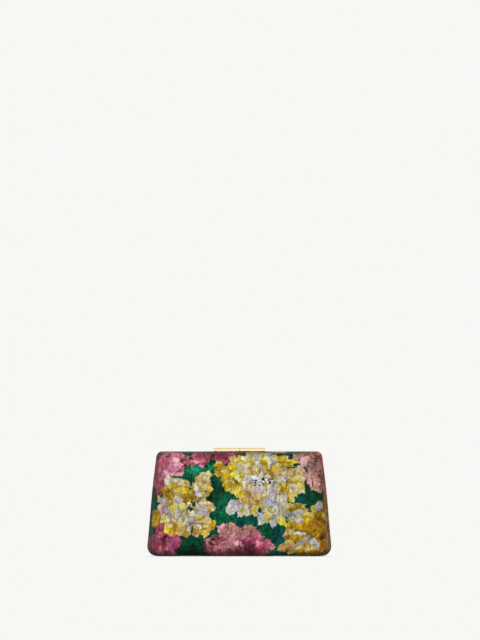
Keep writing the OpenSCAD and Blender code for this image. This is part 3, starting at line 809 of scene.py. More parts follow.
def close_skin(points, quads, ring, under, lips, rear, flip):
    """Joins a fine outer skin to a coarse inner one (ring counts 4 to 1) so the piece is closed.
    lips are rings of points between them. Returns points and polygon arrays."""
    all_points, polys, last, n = [points], [quads], ring, len(points)
    for lip in lips:
        index = n + np.arange(len(lip))
        polys.append(turned(ring_strip(last, index), flip))
        all_points.append(lip)
        last, n = index, n + len(lip)
    all_points.append(to_world(under.points, rear))
    polys.append(turned(under.quads, not flip) + n)
    coarse = under.rings[-1] + n
    following = np.roll(coarse, -1)
    f0, f1, f2, f3 = last.reshape(-1, 4).T
    f4 = np.roll(f0, -1)
    triangles = [(f0, coarse, f1), (f1, coarse, f2), (coarse, following, f2),
                 (f2, following, f3), (f3, following, f4)]
    polys.append(turned(np.concatenate([np.stack(t, -1) for t in triangles]), flip))
    return np.concatenate(all_points), polys


def fade_rings(surface, shares):
    """One everywhere, and the given shares on the rings nearest the mouth, from the mouth in."""
    fade = np.ones(len(surface.points))
    for ring, share in zip(surface.rings[::-1], shares):
        fade[ring] = share
    return fade


# ---- the halves' rounded trays ---------------------------------------------------
def half_width(z, taper):
    return BOTTOM_W / 2 - (BOTTOM_W - TOP_W) / 2 * z / BODY_H - taper


class Form:
    """One half's rounded tray, seen from the front: an outline at the mouth, walls, and rolled
    edges round the face. inset and mouth_y place the mouth, thinning makes the rolls slighter
    and setback moves them in from the face."""

    def __init__(self, inset, mouth_y, thinning, setback):
        self.mouth_y = mouth_y
        places = [(1, True), (1, False), (-1, False), (-1, True)]    # from bottom right, anticlockwise
        spans = [(-90.0, LEAN), (LEAN, 90.0), (90.0, 180.0 - LEAN), (180.0 - LEAN, 270.0)]
        self.corners = [
            SimpleNamespace(mouth=self.mouth_corner(sign, low, inset),
                            roll=self.roll_corner(sign, low, thinning, setback),
                            start=start, end=end)
            for (sign, low), (start, end) in zip(places, spans)]

    @staticmethod
    def mouth_corner(sign, low, inset):
        """x, z and radius."""
        r = max(CORNER_LOW - inset, 1.5) if low else max(CORNER_TOP - inset, 1.2)
        z = inset + r if low else BODY_H - inset - r
        return sign * (SIDE_OFFSET - inset - r - SIDE_NZ * z) / SIDE_NX, z, r

    @staticmethod
    def roll_corner(sign, low, thinning, setback):
        """x, z, forward, major and minor radius."""
        roll, depth, taper = ((ROLL_LOW, BOTTOM_D, TAPER_LOW) if low
                              else (ROLL_TOP, TOP_D, TAPER_TOP))
        z = sum(roll) if low else BODY_H - TOP_DROP - sum(roll)
        x = half_width(z, taper) - sum(roll)
        return sign * x, z, depth / 2 - roll[1] - setback, roll[0], max(roll[1] - thinning, 0.3)

    def side(self, k, shares):
        """Side k (0 bottom, 1 right, 2 top, 3 left) at shares of its length:
        outward normal, mouth point, roll centre, its forward place, major and minor radius."""
        c0, c1 = self.corners[(k + 3) % 4], self.corners[k]
        a0, a1 = (c0.start + c0.end) / 2, c0.end
        b0, b1 = c1.start, (c1.start + c1.end) / 2
        if k == 0:
            a0, a1 = a0 - 360, a1 - 360
        r0, r1 = c0.roll[3] + 0.7 * c0.roll[4], c1.roll[3] + 0.7 * c1.roll[4]
        first, last = math.radians(a1 - a0) * r0, math.radians(b1 - b0) * r1
        middle = math.hypot(c1.roll[0] - c0.roll[0], c1.roll[1] - c0.roll[1])
        d = shares * (first + middle + last)
        t = np.clip((d - first) / middle, 0, 1)
        angle = np.where(d < first, a0 + (a1 - a0) * d / first,
                         np.where(d > first + middle, b0 + (b1 - b0) * (d - first - middle) / last, a1))
        outward = np.stack([np.cos(np.radians(angle)), np.sin(np.radians(angle))], 1)
        mouth_x, mouth_z, radius = [u + (v - u) * t for u, v in zip(c0.mouth, c1.mouth)]
        x, z, forward, major, minor = [u + (v - u) * t for u, v in zip(c0.roll, c1.roll)]
        mouth = np.stack([mouth_x, mouth_z], 1) + radius[:, None] * outward
        return outward, mouth, np.stack([x, z], 1), forward, major, minor

    def surface(self, nu, nv, n_roll, n_wall):
        """A grid over the face and rings over roll and wall. The result holds points (x, forward, z),
        cloth co-ordinates, reach (distance over the cloth from the face's edge), quads and rings."""
        sides = [self.side(k, np.linspace(0, 1, (nv if k % 2 else nu) + 1)) for k in range(4)]

        def lip(side):
            outward, _, centre, forward, major, minor = side
            p = centre + major[:, None] * outward
            return np.stack([p[:, 0], forward + minor, p[:, 1]], 1)

        bottom, right, top, left = [lip(side) for side in sides]
        top, left = top[::-1], left[::-1]
        u = np.linspace(0, 1, nu + 1)[None, :, None]
        v = np.linspace(0, 1, nv + 1)[:, None, None]
        face = ((1 - v) * bottom[None] + v * top[None] + (1 - u) * left[:, None] + u * right[:, None]
                - ((1 - u) * (1 - v) * bottom[0] + u * (1 - v) * bottom[-1]
                   + (1 - u) * v * top[0] + u * v * top[-1]))
        face_count = (nu + 1) * (nv + 1)
        points = [face.reshape(-1, 3)]
        cloth = [face[..., [0, 2]].reshape(-1, 2)]
        reach = [np.zeros(face_count)]
        face_quads, border = grid(nu, nv)

        outward, mouth, centre, forward, major, minor = [
            np.concatenate([part[:-1] for part in parts]) for parts in zip(*sides)]
        height = forward - self.mouth_y
        d = ((mouth - centre) * outward).sum(1) - major
        # where the wall's line leaves the roll
        leave = (np.arccos(np.clip(minor / np.hypot(d, height), -1, 1)) - np.arctan2(height, d))
        count = len(outward)
        edge = centre + major[:, None] * outward
        for k in range(1, n_roll + 1):
            f = np.pi / 2 + (leave - np.pi / 2) * k / n_roll
            p = centre + (major + minor * np.cos(f))[:, None] * outward
            points.append(np.stack([p[:, 0], forward + minor * np.sin(f), p[:, 1]], 1))
            s = minor * (np.pi / 2 - f)
            cloth.append(edge + s[:, None] * outward)
            reach.append(s)
        roll_end, roll_reach = points[-1], reach[-1]
        far = np.stack([mouth[:, 0], np.full(count, self.mouth_y), mouth[:, 1]], 1)
        length = np.linalg.norm(far - roll_end, axis=1)
        for k in range(1, n_wall + 1):
            t = k / n_wall
            points.append(roll_end + (far - roll_end) * t)
            s = roll_reach + length * t
            cloth.append(edge + s[:, None] * outward)
            reach.append(s)
        rings = [border] + [face_count + k * count + np.arange(count) for k in range(n_roll + n_wall)]
        quads = [face_quads] + [ring_strip(r0, r1) for r0, r1 in zip(rings[:-1], rings[1:])]
        return SimpleNamespace(
            points=np.concatenate(points), cloth=np.concatenate(cloth), reach=np.concatenate(reach),
            quads=np.concatenate(quads), rings=rings, outward=outward, count=count, nu=nu, nv=nv)


# ---- cloth simulation on a coarse copy of a form ---------------------------------
def simulate(name, surface, pressure, frames, cap, stiff, shrink, rear, bend, seed):
    """Blows a coarse skin up a little with Blender's cloth, held at its mouth ring, and returns
    how far each point moved, in millimetres and no more than cap, as (x, forward, z)."""
    rng = np.random.RandomState(seed)
    start = to_world(surface.points, rear)
    ob = make_mesh(name, start + rng.normal(0, 1.5e-5, start.shape), [turned(surface.quads, rear)])
    hold = ob.vertex_groups.new(name="hold")
    for ring, weight in zip(surface.rings[::-1], (1.0, 0.7)):
        hold.add([int(i) for i in ring], weight, "REPLACE")
    modifier = ob.modifiers.new("Cloth", "CLOTH")
    cloth = modifier.settings
    cloth.quality = 6
    cloth.mass = 0.25
    cloth.tension_stiffness = stiff
    cloth.compression_stiffness = stiff
    cloth.shear_stiffness = stiff * 0.4
    cloth.bending_stiffness = bend
    cloth.vertex_group_mass = "hold"
    cloth.shrink_min = shrink
    cloth.use_pressure = True
    cloth.uniform_pressure_force = pressure
    cloth.effector_weights.gravity = 0.0
    modifier.collision_settings.use_self_collision = False
    modifier.collision_settings.use_collision = False
    scene = bpy.context.scene
    scene.frame_start, scene.frame_end = 1, frames
    modifier.point_cache.frame_start, modifier.point_cache.frame_end = 1, frames
    for f in range(1, frames + 1):
        scene.frame_set(f)
    evaluated = ob.evaluated_get(bpy.context.evaluated_depsgraph_get())
    end = np.zeros(len(start) * 3, np.float32)
    evaluated.data.vertices.foreach_get("co", end)
    move = (end.reshape(-1, 3).astype(float) - start) * 1000
    if not rear:
        move[:, 1] *= -1
    d = np.linalg.norm(move, axis=1)
    move *= (np.tanh(d / cap) * cap / np.maximum(d, 1e-9))[:, None]
    mesh = ob.data
    bpy.data.objects.remove(ob)
    bpy.data.meshes.remove(mesh)
    scene.frame_set(1)
    return move


def cubic(values, t, wrap):
    """Catmull-Rom sampling of rows of values at fractional rows t."""
    n = len(values)
    i = np.floor(t).astype(int)
    f = (t - i)[:, None]
    p0, p1, p2, p3 = [values[np.mod(k, n) if wrap else np.clip(k, 0, n - 1)]
                      for k in (i - 1, i, i + 1, i + 2)]
    return 0.5 * (2 * p1 + (p2 - p0) * f + (2 * p0 - 5 * p1 + 4 * p2 - p3) * f ** 2
                  + (3 * p1 - p0 - 3 * p2 + p3) * f ** 3)


def carry_over(move, coarse, fine):
    """Takes a coarse form's movement to a fine one that is laid out the same way."""
    nu0, nv0, nu1, nv1 = coarse.nu, coarse.nv, fine.nu, fine.nv
    g = move[:(nu0 + 1) * (nv0 + 1)].reshape(nv0 + 1, -1)
    g = cubic(g, np.linspace(0, nv0, nv1 + 1), False).reshape(nv1 + 1, nu0 + 1, 3)
    g = g.transpose(1, 0, 2).reshape(nu0 + 1, -1)
    g = cubic(g, np.linspace(0, nu0, nu1 + 1), False).reshape(nu1 + 1, nv1 + 1, 3)
    out = np.zeros((len(fine.points), 3))
    out[:(nu1 + 1) * (nv1 + 1)] = g.transpose(1, 0, 2).reshape(-1, 3)
    # round the perimeter side by side, so corners stay on corners
    rings = np.stack([move[r] for r in coarse.rings])
    at = np.concatenate([start + np.arange(n1) * n0 / n1 for n0, n1, start in
                         [(nu0, nu1, 0), (nv0, nv1, nu0), (nu0, nu1, nu0 + nv0),
                          (nv0, nv1, 2 * nu0 + nv0)]])
    around = cubic(rings.transpose(1, 0, 2).reshape(coarse.count, -1), at, True)
    around = around.reshape(fine.count, -1, 3).transpose(1, 0, 2)
    # from ring to ring by share of roll and wall
    reach0 = np.array([coarse.reach[r].mean() for r in coarse.rings])
    reach1 = np.array([fine.reach[r].mean() for r in fine.rings])
    t = np.interp(reach1, reach0, np.arange(len(reach0)))
    across = cubic(around.reshape(len(reach0), -1), t, False).reshape(len(t), fine.count, 3)
    for k, ring in enumerate(fine.rings[1:], 1):
        out[ring] = across[k]
    return out


def swelling(name, coarse, fine, **settings):
    """How far a fine form's points move when blown up."""
    return carry_over(simulate(name + "_sim", coarse, **settings), coarse, fine)


# ---- the brocade covers ------------------------------------------------------------
def cover_lips(fine, skin, rear):
    """Rings that turn the cut edge in round the mouth."""
    ring, outward = fine.rings[-1], fine.outward
    edge = fine.points[ring]
    lips = []
    for degrees, further in ((30, 0), (60, 0), (90, 0), (90, TURN_IN)):
        a = math.radians(degrees)
        d = TURN_IN * (1 - math.cos(a)) + further
        lip = edge - np.stack([outward[:, 0] * d, np.zeros(fine.count), outward[:, 1] * d], 1)
        lip[:, 1] = MOUTH + TURN_IN * (1 - math.sin(a))
        lip = to_world(lip, rear)
        lip[:, 2] = np.maximum(lip[:, 2], FLOOR)
        lips.append(lip)
    # the first ring follows the skin's relief part of the way
    lips[0] = lips[0] + 0.4 * (skin[ring] - to_world(edge, rear))
    return lips


def build_cover(name, rear):
    fine_form = Form(inset=0.0, mouth_y=MOUTH + TURN_IN, thinning=0.0, setback=0.0)
    fine = fine_form.surface(312, 180, 11, 17)
    coarse = fine_form.surface(52, 30, 4, 5)
    under = Form(inset=1.1, mouth_y=MOUTH + 0.25, thinning=1.1, setback=0.0).surface(78, 45, 3, 4)
    # the foam under the fabric swells it: blown up gently, held at the rim
    swell = swelling(name, coarse, fine, pressure=2.2, frames=16, cap=1.5, stiff=18,
                     shrink=-0.012, rear=rear, bend=0.4, seed=5 + rear)
    x, z, reach = fine.points[:, 0], fine.points[:, 2], fine.reach
    # the face crowns a little towards its middle and settles near the rolled edges
    across, up = np.clip(x / half_width(z, 12), -1, 1), np.clip((z - 54) / 50, -1, 1)
    crown = 0.9 * (1 - np.abs(across) ** 3) * (1 - np.abs(up) ** 2.5) * bell(reach, 5.0)
    cloth = weave_pattern(fine.cloth * (np.array([-1.0, 1.0]) if rear else 1.0), turned=rear)
    relief = (cloth.height - 0.42) * (1.0 - 0.45 * ramp(0.0, 5.0, reach))
    points = fine.points + swell * np.clip(1.0 - reach / 7.0, 0.12, 1.0)[:, None]
    # the padded side walls belly out a little between the corners
    belly = (0.8 * ramp(1.0, 8.0, reach) * ramp(0.0, 6.0, reach.max() - reach)
             * np.clip(1 - ((z - 52) / 46) ** 2, 0, 1))
    points[:, 0] += np.sign(x) * belly * ramp(60.0, 74.0, np.abs(x))
    skin = to_world(points, rear)
    quads = turned(fine.quads, rear)
    rise = (relief + crown) * 0.001 * fade_rings(fine, (0.35, 0.5, 0.7, 0.85))
    skin = skin + normals(skin, quads) * rise[:, None]
    skin[:, 2] = np.maximum(skin[:, 2], FLOOR)
    lips = cover_lips(fine, skin, rear)
    ring = fine.rings[-1]
    all_points, polys = close_skin(skin, quads, ring, under, lips, rear, flip=rear)

    # painted shade, darker low down and along the top (heights in metres); painted light, lighter and
    # warmer, on one side wall
    shade_and_wear = 1.0 - 0.32 * ramp(0.0075, 0.0010, skin[:, 2]) - 0.16 * ramp(0.1035, 0.1070, skin[:, 2])
    side_painted_light = ramp(7.5, 11.0, reach) * ramp(26.0, 17.0, reach) * ramp(60, 72, x)
    tinted = shade_and_wear[:, None] * (1 + side_painted_light[:, None] * np.array([0.45, 0.28, 0.06]))
    pattern_and_painted_light = linear(np.clip(cloth.colour * tinted, 0, 1))
    lining_side = np.tile(linear(np.array([[0.10, 0.30, 0.21]])), (len(under.points), 1))
    pattern_and_painted_light = np.concatenate([pattern_and_painted_light, np.tile(pattern_and_painted_light[ring], (len(lips), 1)), lining_side])
    return make_mesh(name, all_points, polys, {
        "cloth": with_zero(cloth.drawn), "petal": cloth.local, "bloom": cloth.bloom,
        "crease": cloth.crease, "rim": cloth.rim,
        "pattern_and_painted_light": np.column_stack([pattern_and_painted_light, np.ones(len(pattern_and_painted_light))])})


# ---- the satin linings -------------------------------------------------------------
def corner_folds(cloth, seed):
    """Soft creases that run out of the corners."""
    x, z = cloth[:, 0], cloth[:, 1]
    waver = 1.5 * fbm(x / 14, z / 14, seed)
    fold = np.zeros(len(x))
    for right, up in [(-1, -1), (1, -1), (1, 1), (-1, 1)]:
        dx, dz = x - right * half_width(54 + 50 * up, 14), z - (54 + 46 * up)
        ripple = 0.5 + 0.5 * np.sin(np.arctan2(dz, dx) * 13 + waver)
        fold += bell(np.hypot(dx, dz), 20.0) * ripple * 0.42
    return fold


def build_lining(name, rear):
    form = Form(LINING_GAP + LINING_T, LINING_MOUTH, LINING_ROLL_GAP + LINING_T, LINING_BACK)
    fine = form.surface(160, 96, 7, 18)
    coarse = form.surface(40, 24, 2, 4)
    under = Form(LINING_GAP, LINING_MOUTH, LINING_ROLL_GAP, LINING_BACK).surface(40, 24, 2, 3)
    # satin over thin wadding: it swells inwards a little and gathers in the corners
    puff = swelling(name, coarse, fine, pressure=-1.4, frames=14, cap=0.8, stiff=10,
                    shrink=-0.03, rear=rear, bend=0.1, seed=15 + rear)
    x, z, reach = fine.cloth[:, 0], fine.cloth[:, 1], fine.reach
    seed = 97 if rear else 90
    fold = corner_folds(fine.cloth, seed)
    slack = 0.30 * fbm(x / 26, z / 17, seed + 3, 2) + 0.12 * fbm(x / 9, z / 6, seed + 4, 2)
    seam = bell(reach - 1.5, 0.8)                 # the seam between face and wall panels
    skin = to_world(fine.points + puff * bell(reach, 12)[:, None], rear)
    quads = turned(fine.quads, not rear)          # seen from inside
    wall = np.clip(reach / 6.0, 0, 1)
    rise = fold + slack * (1 - 0.7 * wall) + 0.25 * (1 - wall) - 0.44 * seam
    rise = np.clip(rise, -0.35, 1.0) * fade_rings(fine, (0.0, 0.2, 0.4, 0.7, 0.9)) * 0.001
    skin = skin + normals(skin, quads) * rise[:, None]
    points, polys = close_skin(skin, quads, fine.rings[-1], under, [], rear, flip=not rear)
    return make_mesh(name, points, polys,
                     {"cloth": with_zero(fine.cloth), "seam": bell(reach - 1.5, 0.5)})


# ---- the foam sheets ---------------------------------------------------------------
def build_foam(name, rear):
    """A sheet behind the face with a soft, skived edge."""
    top = Form(inset=0, mouth_y=MOUTH, thinning=FOAM_IN, setback=0.0).surface(110, 66, 3, 1)
    face_count = (top.nu + 1) * (top.nv + 1)
    keep = face_count + 3 * top.count             # face and roll, no wall
    points = top.points[:keep].copy()
    quads = top.quads[(top.quads < keep).all(1)]
    for k, (ring, drop) in enumerate(zip(top.rings[1:4], FOAM_EDGE), 1):
        edge = top.points[top.rings[0]].copy()
        edge[:, 0] += top.outward[:, 0] * FOAM_STEP * k
        edge[:, 2] += top.outward[:, 1] * FOAM_STEP * k
        edge[:, 1] -= drop
        points[ring] = edge
    outer = to_world(points, rear)
    outer_quads = turned(quads, rear)
    x, z = points[:, 0], points[:, 2]
    pits = 0.05 * fbm(x / 1.9, z / 1.9, 300, 2) + 0.07 * fbm(x / 7, z / 7, 301, 2)
    outer = outer + normals(outer, outer_quads) * (pits * 0.001)[:, None]
    inner = points[:face_count].copy()
    inner[:, 1] -= FOAM_T
    n = len(outer)
    side = ring_strip(top.rings[3], top.rings[0] + n)
    face_quads = quads[(quads < face_count).all(1)]
    polys = [outer_quads, turned(side, rear), turned(face_quads, not rear) + n]
    return make_mesh(name, np.concatenate([outer, to_world(inner, rear)]), polys)


# ---- the slip pocket ---------------------------------------------------------------
def build_stitches(name, line):
    """Six-sided stitches, one between every other pair of points along a line; metres."""
    radius, bulge = 0.13e-3, 0.10e-3
    out = np.array([0, -1.0, 0.0])                # away from the rear lining
    points, quads = [], []
    for a, b in zip(line[::2], line[1::2]):
        base = len(points)
        length = np.linalg.norm(b - a)
        d = (b - a) / max(length, 1e-9)
        across = np.cross(d, out)
        for t in (-0.5, -0.25, 0.0, 0.25, 0.5):
            centre = (a + b) / 2 + d * t * length + out * bulge * (1 - (2 * t) ** 2)
            thick = radius * (1.0 if abs(t) < 0.5 else 0.55)
            for k in range(6):
                angle = k * math.pi / 3
                points.append(centre + (across * math.cos(angle) + out * math.sin(angle)) * thick)
        for j in range(4):
            this, following = base + j * 6, base + (j + 1) * 6
            for k in range(6):
                k1 = (k + 1) % 6
                quads.append([this + k, this + k1, following + k1, following + k])
        for end in ([base + k for k in range(5, -1, -1)], [base + 24 + k for k in range(6)]):
            quads.append([end[0], end[1], end[2], end[3]])
            quads.append([end[0], end[3], end[4], end[5]])
    return make_mesh(name, np.array(points), [np.array(quads)])


def build_pocket(name):
    """The pocket and its two rows of stitches."""
    low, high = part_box("slip_pocket")
    width = (high.x - low.x) * 1000
    tilt = math.atan2((BOTTOM_D - TOP_D) / 2, BODY_H - TOP_DROP - ROLL_TOP[1] - ROLL_LOW[1])
    face = BOTTOM_D / 2 - POCKET_SETBACK
    nu, nv = 104, 58
    u, v = np.meshgrid(np.linspace(-1, 1, nu + 1), np.linspace(0, 1, nv + 1))
    x, h = u * width / 2, v * POCKET_H
    # it stands off the lining, fullest at the open top, with slack and rounded lower corners
    full = (1 - np.abs(u) ** 4) * (1.1 + 0.9 * v)
    sag = 0.9 * (1 - u ** 2) * v ** 6
    slack = (0.35 * fbm(x / 18, h / 9, 401, 2) * (1 - np.abs(u) ** 6)
             + 0.25 * np.sin(u * 9 + 2 * fbm(x / 30, h / 20, 402)) * v ** 3 * (1 - u ** 4))
    stand = 0.35 + full * (0.35 + 0.65 * v) * 0.62 + slack * (0.3 + 0.7 * v)
    hem = (0.28 * ramp(POCKET_H - 6.2, POCKET_H - 5.8, h) + 0.22 * bell(h - POCKET_H, 0.9))
    # the stitched lines are drawn in
    hem_line = POCKET_H - POCKET_HEM
    dip = -0.22 * (bell(h - hem_line, 0.35) + bell(h - POCKET_SEAM, 0.35)
                   + bell(np.abs(x) - width / 2 + POCKET_SEAM, 0.35))
    stand = np.clip(stand + hem + dip, 0.12, 2.55)
    corner_r = 6
    corner = np.clip(np.hypot(np.clip(np.abs(x) - (width / 2 - corner_r), 0, None),
                              np.clip(corner_r - h, 0, None)) - corner_r, 0, None)
    x = x - np.sign(x) * corner * 0.55
    h = h + corner * 0.55 - sag

    def place(thickness):
        """A layer in metres, leaning back with the rear face."""
        y, z = (thickness - stand).ravel(), (h + POCKET_FOOT).ravel()
        cos, sin = math.cos(tilt), math.sin(tilt)
        return np.stack([x.ravel(), face + y * cos - z * sin, y * sin + z * cos], 1) * 0.001

    points = np.concatenate([place(0.0), place(POCKET_T)])
    n = (nu + 1) * (nv + 1)
    quads, border = grid(nu, nv)
    following = np.roll(border, -1)
    side = np.stack([border + n, following + n, following, border], -1)
    cloth = np.tile(with_zero(np.stack([x.ravel(), h.ravel()], 1)), (2, 1))
    seam = np.tile(bell(h - hem_line, 0.3).ravel(), 2)
    pocket = make_mesh(name, points, [quads, quads[:, ::-1] + n, side],
                       {"cloth": cloth, "seam": seam})
    # rows of stitches along the hem and round the sewn edge, just off the cloth
    g = points[:n].reshape(nv + 1, nu + 1, 3) + np.array([0, -0.00008, 0])
    row = int(round(hem_line / POCKET_H * nv))
    hem_row = build_stitches("pocket_hem_stitches", list(g[row, 2:nu - 1]))
    down, low_edge, up = g[nv - 1:4:-1, 1], g[1, 7:nu - 6], g[5:nv, nu - 1]
    seam_row = build_stitches("pocket_seam_stitches", [*down, *low_edge, *up])
    return pocket, [hem_row, seam_row]


# ---- the small buffers of the catch --------------------------------------------------
def loft(name, sections):
    """A closed solid through sections of equal length, capped at both ends."""
    m, last = len(sections[0]), (len(sections) - 1) * len(sections[0])
    i = np.arange(m)
    polys = [ring_strip(k * m + i, (k + 1) * m + i) for k in range(len(sections) - 1)]
    n = len(sections) * m
    points = sections + [sections[0].mean(0)[None], sections[-1].mean(0)[None]]
    caps = [np.stack([np.full(m, n), i, np.roll(i, -1)], -1),
            np.stack([np.full(m, n + 1), last + np.roll(i, -1), last + i], -1)]
    return make_mesh(name, np.concatenate(points), polys + caps)


def rounded_section(x, y0, y1, z0, z1, r_top, r_low, inset):
    """A rounded rectangle in the plane at x, in metres; inset draws its corners in."""
    points = []
    for cy, cz, r, start in ((y1 - r_top, z1 - r_top, r_top, 0), (y0 + r_top, z1 - r_top, r_top, 90),
                             (y0 + r_low, z0 + r_low, r_low, 180), (y1 - r_low, z0 + r_low, r_low, 270)):
        r = max(r - inset, 0.01)
        for a in np.radians(start + np.linspace(0, 90, 7)):
            points.append((x, cy + r * math.cos(a), cz + r * math.sin(a)))
    return np.array(points) * 0.001


def build_buffers():
    """A felt strip on the front rim under the bars, and a pad between the bars' ends; both are dark
    brown, painted shade in the gap under the bars and in the slit between their ends.
    """
    bar_box_low, bar_box_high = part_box("rear_clasp_bar")
    bar_top, bar_end = bar_box_high.z * 1000, bar_box_low.x * 1000
    bar_low = bar_top - 3.2
    # distance along the pad from the bar's end, and inset there
    stations = ((0.0, 0.0), (0.24, 0.0), (0.29, 0.03), (0.31, 0.08))
    pad = loft("catch_end_shade_pad", [
        rounded_section(bar_end - d, y0=-4.5, y1=4.5, z0=bar_low + 0.06, z1=bar_top - 0.10,
                        r_top=0.75, r_low=0.12, inset=inset) for d, inset in stations])
    seat = BODY_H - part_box("front_rim")[0].z * 1000
    half = bar_box_high.x * 1000 - 0.6
    xs = np.concatenate([[-half, -half + 0.03, -half + 0.1],
                         np.linspace(-half + 0.4, half - 0.4, 150),
                         [half - 0.1, half - 0.03, half]])
    insets = np.interp(np.abs(xs), [half - 0.1, half - 0.03, half], [0.0, 0.03, 0.09])

    def waver(x):
        return 0.012 * math.sin(x * 1.7) + 0.008 * math.sin(x * 4.1 + 1)

    strip = loft("catch_felt_shade_strip", [
        rounded_section(x, y0=-0.45, y1=-0.12, z0=seat, z1=bar_low - 0.07 + waver(x),
                        r_top=0.15, r_low=0.03, inset=inset) for x, inset in zip(xs, insets)])
    return pad, strip


# ---- node graphs ---------------------------------------------------------------------
class Graph:
    """Adds and wires the nodes of a material or world."""

    def __init__(self, owner):
        owner.use_nodes = True
        self.tree = owner.node_tree
        self.tree.nodes.clear()

    def put(self, socket, value):
        """Links a socket into the input, or sets its value."""
        if isinstance(value, bpy.types.NodeSocket):
            self.tree.links.new(value, socket)
        else:
            socket.default_value = value

    def add(self, kind, inputs=None, **properties):
        node = self.tree.nodes.new(kind)
        for key, value in properties.items():
            setattr(node, key, value)
        for key, value in (inputs or {}).items():
            self.put(node.inputs[key], value)
        return node

    def math(self, operation, a, b=0.0, c=0.0):
        return self.add("ShaderNodeMath", {0: a, 1: b, 2: c}, operation=operation).outputs[0]

    def times(self, a, b):
        return self.math("MULTIPLY", a, b)

    def plus(self, a, b):
        return self.math("ADD", a, b)

    def less(self, a, b):
        return self.math("SUBTRACT", a, b)

    def split(self, vector):
        return self.add("ShaderNodeSeparateXYZ", {0: vector}).outputs

    def stretched(self, parts, factors):
        """A vector of the parts, each times its factor."""
        scaled = {i: self.times(part, f) for i, (part, f) in enumerate(zip(parts, factors))}
        return self.add("ShaderNodeCombineXYZ", scaled).outputs[0]

    def attribute(self, name, output="Fac"):
        return self.add("ShaderNodeAttribute", attribute_name=name).outputs[output]

    def object_coords(self):
        return self.add("ShaderNodeTexCoord").outputs["Object"]

    def noise(self, vector, scale, detail=2.0, rough=0.5):
        return self.add("ShaderNodeTexNoise", {"Vector": vector, "Scale": scale, "Detail": detail,
                                               "Roughness": rough}).outputs["Fac"]

    def span(self, value, source, target):
        """Maps the source range onto the target range, clamped."""
        return self.add("ShaderNodeMapRange", {0: value, 1: source[0], 2: source[1], 3: target[0],
                                               4: target[1]}, clamp=True).outputs[0]

    def blend(self, share, a, b):
        return self.add("ShaderNodeMix", {0: share, 6: a, 7: b},
                        data_type="RGBA", blend_type="MIX").outputs[2]

    def mix_shader(self, share, a, b):
        return self.add("ShaderNodeMixShader", {0: share, 1: a, 2: b}).outputs[0]

    def bump(self, height, strength, distance, normal=None):
        """distance in metres"""
        inputs = {"Strength": strength, "Distance": distance, "Height": height}
        if normal is not None:
            inputs["Normal"] = normal
        return self.add("ShaderNodeBump", inputs).outputs[0]


class Surface(Graph):
    """A material with one Principled shader."""

    def __init__(self, name):
        self.material = bpy.data.materials.new(name)
        super().__init__(self.material)
        output = self.add("ShaderNodeOutputMaterial")
        self.shader = self.add("ShaderNodeBsdfPrincipled")
        self.put(output.inputs[0], self.shader.outputs[0])

    def finish(self, **inputs):
        """Sets the shader's inputs, underscores standing for spaces; returns the material."""
        for key, value in inputs.items():
            self.put(self.shader.inputs[key.replace("_", " ")], value)
        return self.material


def display(red, green, blue):
    """A display colour, 0 to 255, for a node."""
    return tuple(float(c) for c in linear(colour(red, green, blue))) + (1.0,)


# ---- materials -------------------------------------------------------------------------
def brocade():
    g = Surface("brocade")
    bloom = g.attribute("bloom")
    cloth = g.attribute("cloth", "Vector")
    petal = g.split(g.attribute("petal", "Vector"))     # along, across, own number
    ground = g.less(1.0, bloom)
    # silk floats run along each petal: fine streaks of tone and shine
    streak = g.noise(g.stretched(petal, (0.22, 2.6, 61.0)), scale=1.0, detail=3.0, rough=0.6)
    thread = g.noise(g.stretched(petal, (0.9, 6.5, 37.0)), scale=1.0)
    # warp and weft of the jacquard, 0.42 mm and 0.48 mm from thread to thread
    x, z, _ = g.split(cloth)
    waver = g.times(g.less(g.noise(cloth, scale=0.35), 0.5), 1.6)
    warp = g.math("SINE", g.times(g.plus(x, waver), 15.0))
    weft = g.math("SINE", g.times(g.plus(z, waver), 13.0))
    pick = g.math("MULTIPLY_ADD", g.times(warp, weft), 0.5, 0.5)
    # tone: streaks in the petals, slubs in the ground
    slub = g.noise(g.stretched((x, z), (1.9, 0.28)), scale=1.0, detail=3.0, rough=0.6)
    petal_tone = g.span(g.plus(g.times(streak, 0.7), g.times(thread, 0.3)),
                        (0.28, 0.72), (0.76, 1.20))
    ground_tone = g.span(slub, (0.25, 0.75), (0.72, 1.30))
    tone = g.plus(g.times(petal_tone, bloom), g.times(ground_tone, g.less(1.0, bloom)))
    tone = g.times(tone, g.span(pick, (0.0, 1.0), (0.93, 1.05)))
    # the cloth's colour, with painted shade and painted light in it
    tinted = g.add("ShaderNodeVectorMath", {0: g.attribute("pattern_and_painted_light", "Color"), "Scale": tone},
                   operation="SCALE").outputs[0]
    # a few pale lurex picks over the petals
    glint = g.span(g.noise(cloth, scale=3.1, rough=0.6), (0.60, 0.68), (0.0, 1.0))
    dull = g.plus(g.times(streak, 0.6), g.times(ground, 0.12))
    weave = g.bump(g.plus(g.times(pick, 0.55), g.times(thread, 0.9)),
                   strength=0.55, distance=0.00014)
    return g.finish(
        Base_Color=g.blend(g.times(g.times(glint, bloom), 0.16), tinted, display(244, 238, 236)),
        Roughness=g.span(g.less(dull, g.times(glint, 0.2)), (0.0, 0.7), (0.30, 0.58)),
        Specular_IOR_Level=0.16, Sheen_Weight=0.0, Sheen_Roughness=0.35,
        Normal=g.bump(streak, strength=0.65, distance=0.00045, normal=weave))


